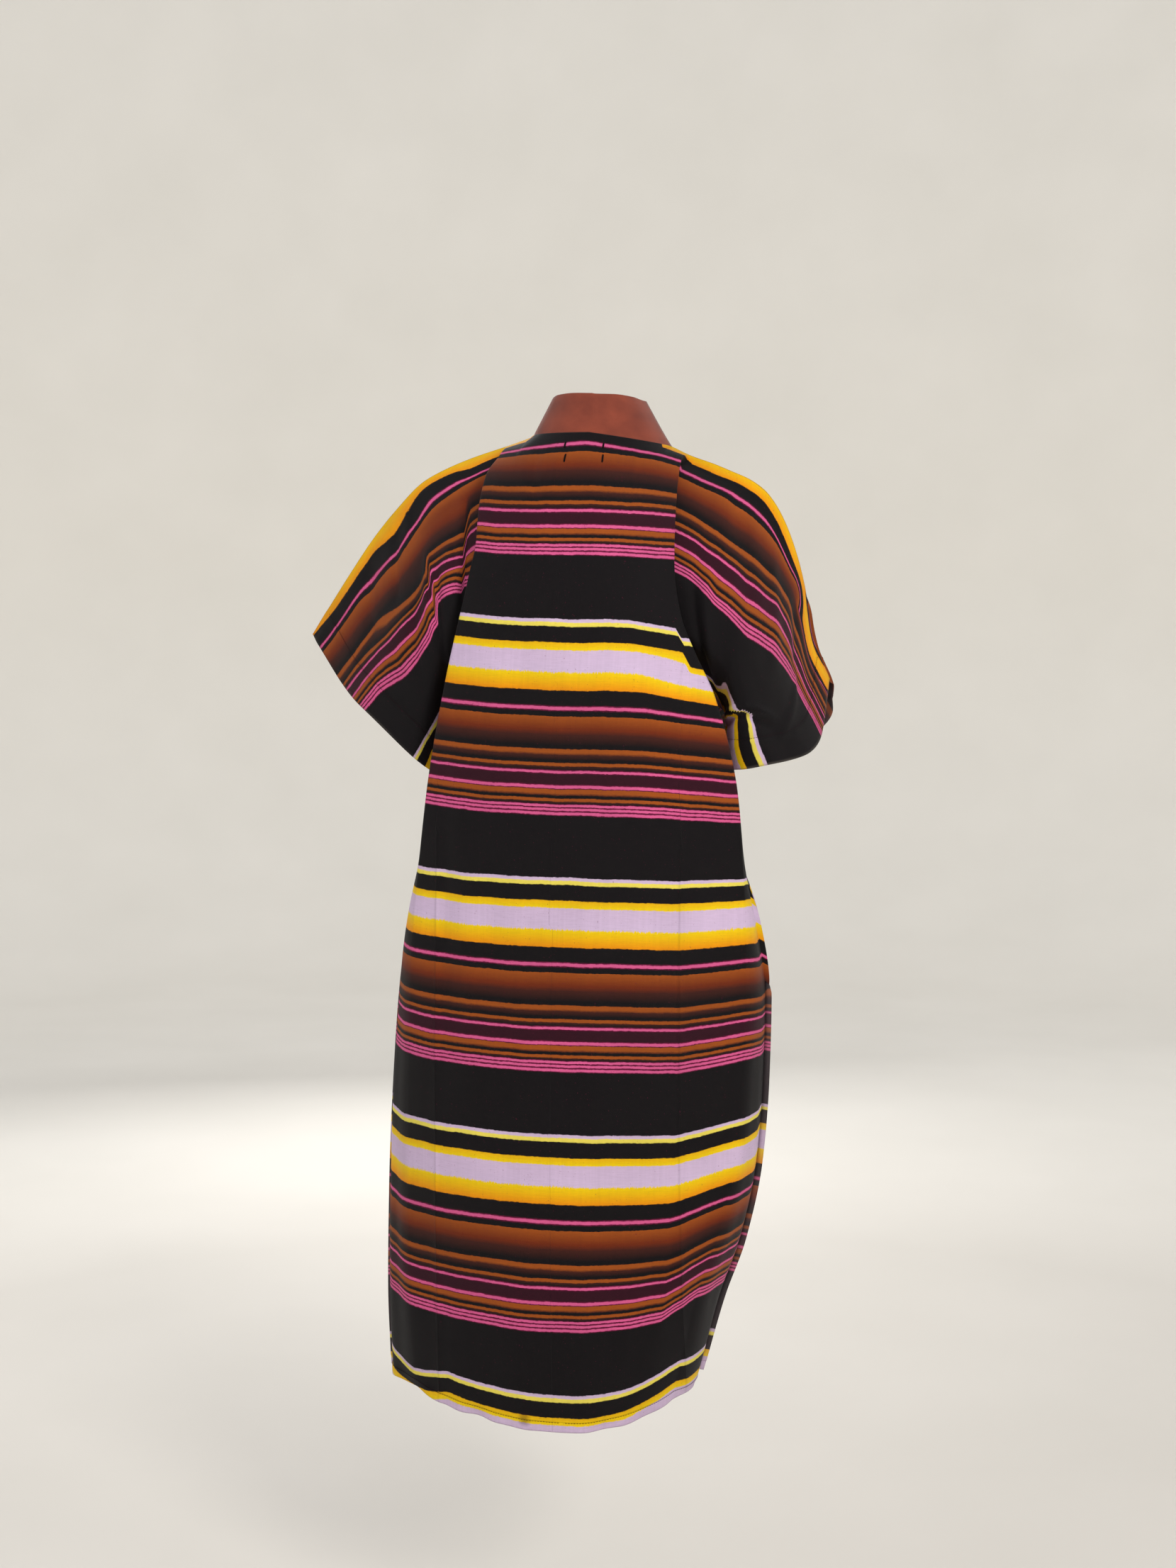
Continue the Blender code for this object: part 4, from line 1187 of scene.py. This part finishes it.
def joined_halves(face):
    """Both sides of a panel as one grid, from the right sleeve's hem to the left one's."""
    left, right = half_panel(LEFT, face), half_panel(RIGHT, face)
    grid = {}
    for name, value in left.items():
        mirrored = right[name][:, :0:-1]
        grid[name] = np.concatenate([mirrored, value], axis=1)
    middle = left["place"].shape[1] - 1
    both = left["normal"][:, 0] + right["normal"][:, 0]
    grid["normal"][:, middle] = unit(both)
    return grid


def make_mesh(name, places, faces, attributes, materials):
    """An object from arrays, shaded smooth, with named values at its points."""
    used, index = np.unique(faces, return_inverse=True)
    data = bpy.data.meshes.new(name)
    data.from_pydata(places[used].tolist(), [], index.reshape(faces.shape).tolist())
    for key, values in attributes.items():
        values = np.asarray(values, np.float32)[used]
        kind, field = ("FLOAT", "value") if values.ndim == 1 else ("FLOAT_VECTOR", "vector")
        data.attributes.new(key, kind, "POINT").data.foreach_set(field, values.ravel())
    data.shade_smooth()
    for material in materials:
        data.materials.append(material)
    piece = bpy.data.objects.new(name, data)
    bpy.context.scene.collection.objects.link(piece)
    return piece


def panel_seams(grid, underarm, last_body):
    """The grid's seam edges as paths of (row, column): the tops, then the underarms and sides."""
    columns = grid["across"].shape[1]
    middle = columns // 2
    neck = np.flatnonzero(np.isclose(grid["across"][0], NECK_EDGE))
    rows = grid["across"].shape[0]
    paths = []
    for side, corner in ((LEFT, neck.max()), (RIGHT, neck.min())):
        outer = columns - 1 if side == LEFT else 0
        seam_column = middle + side * last_body
        paths.append([(0, j) for j in range(corner, outer + side, side)])
        below = [(underarm, j) for j in range(outer, seam_column, -side)]
        paths.append(below + [(i, seam_column) for i in range(underarm, rows)])
    return paths


def panel_mesh(name, face, materials):
    """A panel's cloth, with its seam allowances turned in, as an open surface."""
    grid = joined_halves(face)
    rows, columns = grid["across"].shape
    body_cells = sum(count for _, end, count in COLUMN_STRETCHES if end <= 2)
    underarm = sum(count for _, end, count in ROW_STRETCHES if end <= SLEEVE_DEPTH)
    middle = columns // 2
    index = np.arange(rows * columns).reshape(rows, columns)
    cells = np.stack([index[:-1, :-1], index[1:, :-1], index[1:, 1:], index[:-1, 1:]], axis=-1)
    outside = np.abs(np.arange(columns - 1) + 0.5 - middle) > body_cells
    below = np.arange(rows - 1) >= underarm
    faces = cells[~(below[:, None] & outside[None, :])]
    if face == BACK:
        faces = faces[:, ::-1]
    values = {key: grid[key] for key in ("place", "chart", "hem", "pressed", "cloth")}
    flat = {key: value.reshape(rows * columns, *value.shape[2:]) for key, value in values.items()}
    normals = grid["normal"].reshape(-1, 3)
    plane = grid["plane"].reshape(-1)
    strips = []
    for number, path in enumerate(panel_seams(grid, underarm, body_cells)):
        edge = np.array([index[i, j] for i, j in path])
        inward = -normals[edge]
        inward[:, 1] = 0
        start = len(flat["place"])
        for key, value in flat.items():
            extra = value[edge]
            if key == "place":
                extra = extra + unit(inward) * ALLOWANCE
                extra[:, 1] = plane[edge] + face * SEAM_TOUCH
            flat[key] = np.concatenate([value, extra])
        turned = np.arange(start, start + len(edge))
        strip = np.stack([edge[:-1], edge[1:], turned[1:], turned[:-1]], axis=-1)
        if (number % 2 == 0) == (number < 2) == (face == BACK):
            strip = strip[:, ::-1]
        strips.append(strip)
    faces = np.concatenate([faces, *strips])
    places = flat.pop("place")
    piece = make_mesh(name, places, faces, flat, materials)
    piece.data.validate()
    shell = piece.modifiers.new("Cloth", "SOLIDIFY")
    shell.thickness = CLOTH
    shell.offset = -1
    shell.material_offset = 1
    return piece


def neck_loop(face, side, across):
    """A stretch of the neck edge, the panel's outward direction there, and a metre down it."""
    depth = neck_depth(face, across)
    place = panel_point(side, face, across, depth)
    lower = panel_point(side, face, across, depth + COLLAR_TAIL)
    return place, panel_normal(side, face, across, depth), (lower - place) / COLLAR_TAIL


def neck_edge():
    """The whole neck edge from the point of the V round its left side, and what is read along it."""
    share = np.linspace(0, 1, COLLAR_COLUMNS) * NECK_EDGE
    stretches = [
        neck_loop(FRONT, LEFT, share),
        neck_loop(BACK, LEFT, share[::-1]),
        neck_loop(BACK, RIGHT, share[1:]),
        neck_loop(FRONT, RIGHT, share[:0:-1]),
    ]
    edge, normal, below = (np.concatenate(column) for column in zip(*stretches))
    normal[0] = unit(normal[0] * np.array([0, 1, 1]))
    return edge, normal, below


def collar_height(edge, aside, forward):
    """Height of the collar round the neck edge."""
    out = np.abs(aside)
    height = COLLAR_HEIGHT - COLLAR_TILT * aside + COLLAR_EARS * aside**2
    crown = smoothstep(out / CROWN_RISE) * (1 - smoothstep((out - CROWN_FALL) / (1 - CROWN_FALL)))
    height += COLLAR_CROWN * crown
    height += (COLLAR_FRONT_HEIGHT - height) * forward
    tapered = COLLAR_POINT_HEIGHT + COLLAR_TAPER * np.abs(edge[:, 0] - edge[0, 0])
    lowered = np.minimum(height, tapered)
    fallen = lowered + (height - lowered) * smoothstep(1 + edge[:, 1] / COLLAR_FALL)
    return np.where(edge[:, 1] < 0, fallen, height)


def collar_rise(along, inward, aside, forward, behind):
    """The direction in which the collar rises: upright at the back, and along the cloth in front."""
    upright = points_of(-COLLAR_LEAN * aside, -COLLAR_BACK_LEAN * (1 - np.abs(aside)), 1.0)
    rise = upright * (1 - forward[:, None]) + inward * forward[:, None]
    slant = np.sum(rise * along, axis=1) * smoothstep(-behind / COLLAR_TURN)
    return unit(rise - slant[:, None] * along)


def collar_profile():
    """The collar's section: shares of its height, then how far up and inside, in half walls."""
    # Below its base the band goes on a little way inside the neck edge.
    shares = np.concatenate([[-COLLAR_TAIL, -0.5 * COLLAR_TAIL], np.linspace(0, 1, COLLAR_LEVELS)])
    turns = np.linspace(0, np.pi, COLLAR_ROUND + 2)[1:-1]
    profile = [(share, 0.0, 0.0) for share in shares]
    profile += [(1.0, math.sin(turn), 1 - math.cos(turn)) for turn in turns]
    return profile + [(share, 0.0, 2.0) for share in shares[::-1]]


def make_collar(materials):
    """The stand collar: a band with a rounded top that narrows to the point of the V."""
    edge, normal, below = neck_edge()
    along = unit(np.roll(edge, -1, axis=0) - np.roll(edge, 1, axis=0))
    forward = smoothstep(edge[:, 1] / edge[:, 1].min())
    aside = edge[:, 0] / NECK_HALF_WIDTH
    height = collar_height(edge, aside, forward)
    rise = collar_rise(along, unit(np.cross(normal, along)), aside, forward, edge[:, 1])
    thick = unit(np.cross(rise, along))
    base = edge - (CLOTH + SEAM_GAP) * normal
    bend = COLLAR_BEND * np.minimum(aside, 0) * np.abs(aside) * (1 - forward)
    radius = COLLAR_WALL / 2
    profile = collar_profile()
    rings = []
    for share, up, inside in profile:
        straight = (height - radius) * max(share, 0)
        bent = bend * (1 - (1 - max(share, 0)) ** COLLAR_BEND_POWER)
        ring = base + rise * (straight + radius * up)[:, None] + thick * (radius * inside)
        rings.append(ring - np.array([1, 0, 0]) * bent[:, None] + below * max(-share, 0))
    places = np.stack(rings)
    count, around = places.shape[:2]
    index = np.arange(count * around).reshape(count, around)
    after = np.roll(index, -1, axis=1)
    above = np.roll(index, -1, axis=0)
    above_after = np.roll(above, -1, axis=1)
    faces = np.stack([index, after, above_after, above], axis=-1).reshape(-1, 4)
    length = np.broadcast_to(arc_lengths(edge[None]), (count, around))
    rise_length = np.array([max(share, 0) for share, _, _ in profile])[:, None] * height
    cloth = np.stack([length, rise_length, 0 * rise_length], axis=-1).reshape(-1, 3)
    return make_mesh("stand_collar", places.reshape(-1, 3), faces, {"cloth": cloth}, materials)


def thread_stitches(name, starts, ends, outward, radius, material):
    """Many short stitches as one mesh: each a small thread that dips into the cloth at its ends."""
    along = unit(ends - starts)
    across = unit(np.cross(outward, along))
    outward = unit(np.cross(along, across))
    turns = 2 * np.pi * np.arange(STITCH_SIDES) / STITCH_SIDES
    rings = []
    for share, size, lift in STITCH_RINGS:
        centre = starts + (ends - starts) * share + outward * radius * lift
        for turn in turns:
            rings.append(centre + radius * size * (across * math.cos(turn) + outward * math.sin(turn)))
    places = np.stack(rings, axis=1)
    rounds = len(rings) // STITCH_SIDES
    index = np.arange(rounds * STITCH_SIDES).reshape(rounds, STITCH_SIDES)
    after = np.roll(index, -1, axis=1)
    one = np.stack([index[:-1], after[:-1], after[1:], index[1:]], axis=-1).reshape(-1, 4)
    faces = (one[None] + (np.arange(len(starts)) * len(rings))[:, None, None]).reshape(-1, 4)
    return make_mesh(name, places.reshape(-1, 3), faces, {}, [material])


def read_along(values, length, at):
    """Rows of values that lie at distances along a path."""
    return np.stack([np.interp(at, length, column) for column in values.T], axis=-1)


def stitches_on(face, side, across, down):
    """Starts, ends and outward directions of the stitches along a line on a panel."""
    place, normal = cloth_point(side, face, across, down)
    place = place + normal * HEM_STEP
    length = arc_lengths(place[None])[0]
    first = np.arange(STITCH_PITCH, length[-1] - STITCH_PITCH, STITCH_PITCH)
    starts = read_along(place, length, first)
    ends = read_along(place, length, first + STITCH_LENGTH)
    return starts, ends, unit(read_along(normal, length, first))


def hem_lines(face, side):
    """The lines of hem stitching on one side of a panel: the body's hem and the sleeve's."""
    body = np.full_like(BODY_HEM_PLACES, BODY_LENGTH - BODY_TURN)
    rows = np.linspace(STITCH_CLEAR, SLEEVE_DEPTH - STITCH_CLEAR, SLEEVE_HEM_ROWS)
    across, down = np.meshgrid(SLEEVE_HEM_PLACES, rows)
    length = arc_lengths(panel_point(side, face, across, down))
    from_cuff = length[:, -1:] - length
    lines = zip(from_cuff[:, ::-1], across[:, ::-1])
    inset = np.array([np.interp(SLEEVE_TURN, away, places) for away, places in lines])
    long_enough = length[:, -1] > SLEEVE_TURN + STITCH_CLEAR
    return [(BODY_HEM_PLACES, body), (inset[long_enough], down[long_enough, 0])]


def make_stitching(name, face, material):
    parts = [stitches_on(face, side, *line) for side in (LEFT, RIGHT) for line in hem_lines(face, side)]
    starts, ends, outward = (np.concatenate(column) for column in zip(*parts))
    return thread_stitches(name, starts, ends, outward, THREAD, material)


def make_label_marks(material):
    """Four short tacks below the collar, where a small square was once sewn on."""
    starts, ends, outward = [], [], []
    for side, across, top, bottom in zip(*LABEL_TACKS.values()):
        place, normal = cloth_point(int(side), BACK, np.full(2, across), np.array([top, bottom]))
        starts.append(place[0])
        ends.append(place[1])
        outward.append(normal[0])
    tacks = (np.array(column) for column in (starts, ends, outward))
    return thread_stitches("label_stitches", *tacks, LABEL_THREAD, material)


def linear(colour):
    """A colour given in 8-bit sRGB, as the linear values that shaders take."""
    values = [channel / 255 for channel in colour]
    values = [v / 12.92 if v <= 0.04045 else ((v + 0.055) / 1.055) ** 2.4 for v in values]
    return (*values, 1.0)


class Nodes:
    """A material's nodes, made and linked in one call each."""

    def __init__(self, name):
        self.material = bpy.data.materials.new(name)
        self.material.use_nodes = True
        self.tree = self.material.node_tree
        self.shader = self.tree.nodes["Principled BSDF"]

    def add(self, kind, inputs=(), **settings):
        made = self.tree.nodes.new(kind)
        for key, value in settings.items():
            setattr(made, key, value)
        for key, value in dict(inputs).items():
            self.put(made.inputs[key], value)
        return made

    def put(self, socket, value):
        if isinstance(value, bpy.types.NodeSocket):
            self.tree.links.new(value, socket)
        else:
            socket.default_value = value

    def maths(self, operation, *values):
        made = self.tree.nodes.new("ShaderNodeMath")
        made.operation = operation
        for socket, value in zip(made.inputs, values):
            self.put(socket, value)
        return made.outputs[0]

    def attribute(self, name, vector=False):
        made = self.add("ShaderNodeAttribute", attribute_name=name)
        return made.outputs["Vector" if vector else "Fac"]

    def scaled(self, vector, scale):
        made = self.add("ShaderNodeVectorMath", {0: vector, 1: scale}, operation="MULTIPLY")
        return made.outputs[0]

    def swung(self, noise, amount):
        """A noise moved to lie around 0, and made stronger."""
        return self.maths("MULTIPLY", self.maths("SUBTRACT", noise, 0.5), amount)

    def grain(self, cloth, name):
        """One of the cloth's noises."""
        scale, detail, roughness = NOISES[name]
        return self.noise(self.scaled(cloth, scale), 1.0, detail, roughness)

    def surface(self, inputs):
        """Put values on the shader's own sockets, and give the material."""
        for key, value in inputs.items():
            self.put(self.shader.inputs[key], value)
        return self.material

    def noise(self, vector, scale, detail=2.0, roughness=0.5):
        inputs = {"Vector": vector, "Scale": scale, "Detail": detail, "Roughness": roughness}
        return self.add("ShaderNodeTexNoise", inputs).outputs["Fac"]

    def span(self, value, low, high, to_low=0.0, to_high=1.0):
        inputs = {"Value": value, "From Min": low, "From Max": high, "To Min": to_low, "To Max": to_high}
        return self.add("ShaderNodeMapRange", inputs, clamp=True).outputs["Result"]

    def mixed(self, share, first, second, blend="MIX"):
        """Two colours mixed: a colour mix's sockets 6 and 7 are its colours."""
        made = self.add("ShaderNodeMix", data_type="RGBA", blend_type=blend)
        self.put(made.inputs[0], share)
        self.put(made.inputs[6], first)
        self.put(made.inputs[7], second)
        return made.outputs[2]

    def ramp(self, value, stops):
        made = self.add("ShaderNodeValToRGB", {"Fac": value})
        elements = made.color_ramp.elements
        elements[0].position, elements[0].color = stops[0]
        elements[1].position, elements[1].color = stops[-1]
        for position, colour in stops[1:-1]:
            elements.new(position).color = colour
        return made.outputs["Color"]

    def bump(self, height, distance, normal=None):
        inputs = {"Height": height, "Distance": distance, "Strength": 1.0}
        if normal is not None:
            inputs["Normal"] = normal
        return self.add("ShaderNodeBump", inputs).outputs["Normal"]


def stripe_colour(nodes, units):
    """The print's colour at a place in its repeat, through several colour ramps."""
    colour = None
    for first in range(0, len(STRIPES), STRIPES_PER_RAMP):
        group = STRIPES[first : first + STRIPES_PER_RAMP]
        start, end = group[0][0], group[-1][1]
        stops = []
        for low, high, upper, lower in group:
            for place, shade in ((low + STRIPE_BLUR, upper), (high - STRIPE_BLUR, lower)):
                stops.append(((place - start) / (end - start), linear(shade)))
        here = nodes.ramp(nodes.span(units, start, end), stops)
        if colour is None:
            colour = here
        else:
            colour = nodes.mixed(nodes.maths("GREATER_THAN", units, start), colour, here)
    return colour


def weave_height(nodes, cloth, pitch):
    """Crossing threads, each a little uneven."""
    parts = nodes.add("ShaderNodeSeparateXYZ", {0: cloth})
    stray = nodes.grain(cloth, "stray")
    waves = []
    for axis in (0, 1):
        phase = nodes.maths("MULTIPLY", parts.outputs[axis], 2 * math.pi / pitch)
        phase = nodes.maths("ADD", phase, nodes.maths("MULTIPLY", stray, WEAVE_STRAY))
        waves.append(nodes.maths("SINE", phase))
    return nodes.maths("MULTIPLY", waves[0], waves[1])


def printed_place(nodes, cloth):
    """The place in one repeat, with a tremor at the stripes' edges and dragged ink by the gold."""
    units = nodes.attribute("chart")
    tremor = nodes.swung(nodes.grain(cloth, "tremor"), TREMOR)
    sway = nodes.swung(nodes.grain(cloth, "sway"), SWAY)
    units = nodes.maths("ADD", nodes.maths("ADD", units, tremor), sway)
    place = nodes.maths("FLOORED_MODULO", units, REPEAT)
    drag = nodes.swung(nodes.grain(cloth, "drag"), DRAG)
    for edge, share in DRAG_EDGES:
        near = nodes.maths("ABSOLUTE", nodes.maths("SUBTRACT", place, edge))
        moved = nodes.maths("MULTIPLY", nodes.span(near, *DRAG_SPAN), drag)
        place = nodes.maths("ADD", place, nodes.maths("MULTIPLY", moved, share))
    return place


def inked_and_sheened(nodes, cloth, colour, broad, slub):
    """The print's colour with streaks down the cloth, uneven ink and small flecks, and a painted bluish
    sheen streaked into the black.
    """
    streaks = nodes.grain(cloth, "streaks")
    # Painted sheen: the black turns bluish along the streaks.
    dark = nodes.mixed(nodes.span(streaks, *BLUE_SHEEN_SPAN), linear(BLACK), linear(SHEEN_BLUE_BLACK))
    colour = nodes.mixed(nodes.span(streaks, *STREAKED), colour, dark)
    shade = nodes.maths("MULTIPLY", nodes.span(broad, *BROAD_SHADE), nodes.span(slub, *SLUB_SHADE))
    value = nodes.add("ShaderNodeCombineColor", {0: shade, 1: shade, 2: shade}).outputs[0]
    colour = nodes.mixed(1.0, colour, value, "MULTIPLY")
    return nodes.mixed(nodes.span(nodes.grain(cloth, "flecks"), *FLECKED), colour, linear(MAGENTA))


def worn_and_crease_shaded(nodes, cloth, colour, broad, slub, line, hem):
    """The colour with painted shade darkening the pressed lines, the hems' edges where ink has worn off,
    and the hem's stain.
    """
    # Painted shade: a dark line along each pressed crease.
    colour = nodes.mixed(nodes.span(line, *PRESSED_SHADE_SPAN), colour, linear(BLACK))
    bare = nodes.maths("MULTIPLY", nodes.span(hem, *WORN_HEM), nodes.span(broad, *WORN_PLACES))
    colour = nodes.mixed(bare, colour, linear(WORN_INK))
    spot = nodes.add("ShaderNodeVectorMath", {0: cloth, 1: HEM_MARK}, operation="DISTANCE")
    spot = nodes.maths("ADD", spot.outputs["Value"], nodes.swung(slub, STAIN_EDGE))
    return nodes.mixed(nodes.span(spot, *STAINED), colour, linear(RUST_DARK))


def print_material(name, fade):
    """The striped cotton. fade moves it towards the colour of its reverse side."""
    nodes = Nodes(name)
    cloth = nodes.attribute("cloth", vector=True)
    hem = nodes.attribute("hem")
    line = nodes.maths("ABSOLUTE", nodes.attribute("pressed"))
    broad = nodes.grain(cloth, "broad")
    slub = nodes.grain(cloth, "slub")
    colour = stripe_colour(nodes, printed_place(nodes, cloth))
    colour = inked_and_sheened(nodes, cloth, colour, broad, slub)
    colour = worn_and_crease_shaded(nodes, cloth, colour, broad, slub, line, hem)
    if fade:
        colour = nodes.mixed(fade, colour, linear(REVERSE))
    # Relief: the weave, the pressed lines, and the groove of the hems' stitching.
    normal = nodes.bump(weave_height(nodes, cloth, PRINT_WEAVE), PRINT_WEAVE_RELIEF)
    fold = nodes.maths("POWER", nodes.span(line, *PRESSED_FOLD), 2.0)
    normal = nodes.bump(fold, FOLD_RELIEF, normal)
    groove = nodes.maths("ABSOLUTE", nodes.maths("SUBTRACT", hem, 1.0))
    normal = nodes.bump(nodes.span(groove, *STITCH_GROOVE), GROOVE_RELIEF, normal)
    return nodes.surface({
        "Base Color": colour,
        "Roughness": nodes.span(broad, *PRINT_ROUGHNESS),
        "Sheen Weight": 0.03,
        "Sheen Roughness": 0.45,
        "Specular IOR Level": 0.10,
        "Normal": normal,
    })


def collar_material():
    """The collar's plain cotton, with a fine grain."""
    nodes = Nodes("plain_cotton")
    cloth = nodes.attribute("cloth", vector=True)
    grain = nodes.grain(cloth, "collar grain")
    broad = nodes.grain(cloth, "collar shade")
    light, dark = linear(TERRACOTTA), linear(TERRACOTTA_DARK)
    colour = nodes.mixed(nodes.span(broad, *COLLAR_SHADE), light, dark)
    colour = nodes.mixed(nodes.span(grain, *COLLAR_GRAIN), colour, dark)
    normal = nodes.bump(weave_height(nodes, cloth, COLLAR_WEAVE), COLLAR_WEAVE_RELIEF)
    return nodes.surface({
        "Base Color": colour,
        "Roughness": nodes.span(grain, *COLLAR_ROUGHNESS),
        "Sheen Weight": 0.12,
        "Specular IOR Level": 0.3,
        "Normal": nodes.bump(grain, COLLAR_GRAIN_RELIEF, normal),
    })


def thread_material(name, light, dark):
    nodes = Nodes(name)
    place = nodes.add("ShaderNodeTexCoord").outputs["Object"]
    twist = nodes.noise(place, TWIST_NOISE, 1.0)
    return nodes.surface({
        "Base Color": nodes.mixed(nodes.span(twist, *THREAD_TWIST), linear(light), linear(dark)),
        "Roughness": 0.9,
        "Specular IOR Level": 0.1,
        "Normal": nodes.bump(twist, THREAD_RELIEF),
    })


def floor_material():
    nodes = Nodes("studio_floor")
    place = nodes.add("ShaderNodeTexCoord").outputs["Object"]
    flat = nodes.scaled(place, (1, 1, 0))
    away = nodes.add("ShaderNodeVectorMath", {0: flat}, operation="LENGTH").outputs["Value"]
    # Painted light: darker near the middle, which is lit most, and paler towards the wall, where the
    # light falls off.
    colour = nodes.mixed(nodes.span(away, *LIGHT_FALLOFF_SPAN), linear(FLOOR_COLOUR), linear(WALL_PAINTED_LIGHT_COLOUR))
    uneven = nodes.mixed(nodes.noise(place, FLOOR_NOISE), linear(WHITE), linear(OFF_WHITE))
    colour = nodes.mixed(1.0, colour, uneven, "MULTIPLY")
    return nodes.surface({
        "Base Color": colour,
        # Painted glow: the floor gives off a little light in its own colour.
        "Emission Color": colour,
        "Emission Strength": 0.012,
        "Roughness": 0.85,
    })


def make_floor():
    """A round pale floor that curves up far from the robe."""
    radius = np.concatenate([FLOOR_RADII, FLOOR_RADII[-1] + CURVE_RADIUS * np.sin(CURVE_STEPS)])
    rise = np.concatenate([0 * FLOOR_RADII, CURVE_RADIUS * (1 - np.cos(CURVE_STEPS))])
    radius = np.append(radius, radius[-1])
    rise = np.append(rise, WALL_TOP)
    turn = 2 * np.pi * np.arange(FLOOR_SIDES) / FLOOR_SIDES
    x = radius[:, None] * np.cos(turn)
    y = radius[:, None] * np.sin(turn)
    places = points_of(x, y, (rise + FLOOR_LEVEL)[:, None]).reshape(-1, 3)
    index = np.arange(len(places)).reshape(x.shape)
    after = np.roll(index, -1, axis=1)
    faces = np.stack([index[:-1], index[1:], after[1:], after[:-1]], axis=-1).reshape(-1, 4)
    material = floor_material()
    floor = make_mesh("studio_floor", places, faces, {}, [material])
    data = bpy.data.meshes.new("studio_floor_middle")
    data.from_pydata(places[:FLOOR_SIDES].tolist(), [], [tuple(range(FLOOR_SIDES))])
    data.materials.append(material)
    middle = bpy.data.objects.new("studio_floor_middle", data)
    bpy.context.scene.collection.objects.link(middle)


def add_lamp(name, place, size, power, colour, glare):
    data = bpy.data.lights.new(name, "AREA")
    data.shape = "DISK"
    data.size = size
    data.energy = power
    data.color = colour
    data.specular_factor = glare
    lamp = bpy.data.objects.new(name, data)
    lamp.location = place
    lamp.rotation_mode = "QUATERNION"
    lamp.rotation_quaternion = (Vector(LAMP_AIM) - Vector(place)).to_track_quat("-Z", "Y")
    bpy.context.scene.collection.objects.link(lamp)


def make_studio():
    """A pale world, a main light from the back view's right, and softer ones round the robe."""
    world = bpy.data.worlds.new("studio")
    world.use_nodes = True
    background = world.node_tree.nodes["Background"]
    background.inputs["Color"].default_value = WORLD_COLOUR
    background.inputs["Strength"].default_value = WORLD_STRENGTH
    bpy.context.scene.world = world
    for lamp in LAMPS:
        add_lamp(*lamp)
    bpy.context.scene.view_settings.view_transform = "Standard"


def make_camera():
    turn, pitch = CAMERA_TURN, CAMERA_PITCH
    right = Vector((-math.cos(turn), -math.sin(turn), 0))
    level_ahead = Vector((math.sin(turn), -math.cos(turn), 0))
    ahead = level_ahead * math.cos(pitch) - Vector((0, 0, math.sin(pitch)))
    up = right.cross(ahead)
    data = bpy.data.cameras.new("camera")
    data.lens = CAMERA_LENS
    camera = bpy.data.objects.new("camera", data)
    place = Vector((-CAMERA_DISTANCE * math.sin(turn), CAMERA_DISTANCE * math.cos(turn), CAMERA_HEIGHT))
    place -= right * CAMERA_OFFSET
    frame_axes = Matrix((right, up, -ahead)).transposed()
    camera.matrix_world = Matrix.Translation(place) @ frame_axes.to_4x4()
    bpy.context.scene.collection.objects.link(camera)
    bpy.context.scene.camera = camera


def make_robe():
    outside = print_material("print_cotton", 0)
    inside = print_material("print_cotton_reverse", REVERSE_FADE)
    plain = collar_material()
    thread = thread_material("thread", THREAD_COLOUR, PLUM)
    dark_thread = thread_material("dark_thread", LABEL_THREAD_COLOUR, LABEL_THREAD_DARK)
    back = panel_mesh("robe_back", BACK, [outside, inside])
    front = panel_mesh("robe_front", FRONT, [outside, inside])
    collar = make_collar([plain])
    back_thread = make_stitching("back_hem_stitching", BACK, thread)
    front_thread = make_stitching("front_hem_stitching", FRONT, thread)
    marks = make_label_marks(dark_thread)
    for piece in (back, front, collar, back_thread, front_thread, marks):
        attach(piece, "root")
    for piece, node in ((back, "back"), (front, "front"), (collar, "collar")):
        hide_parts(node)


make_robe()
make_floor()
make_studio()
make_camera()
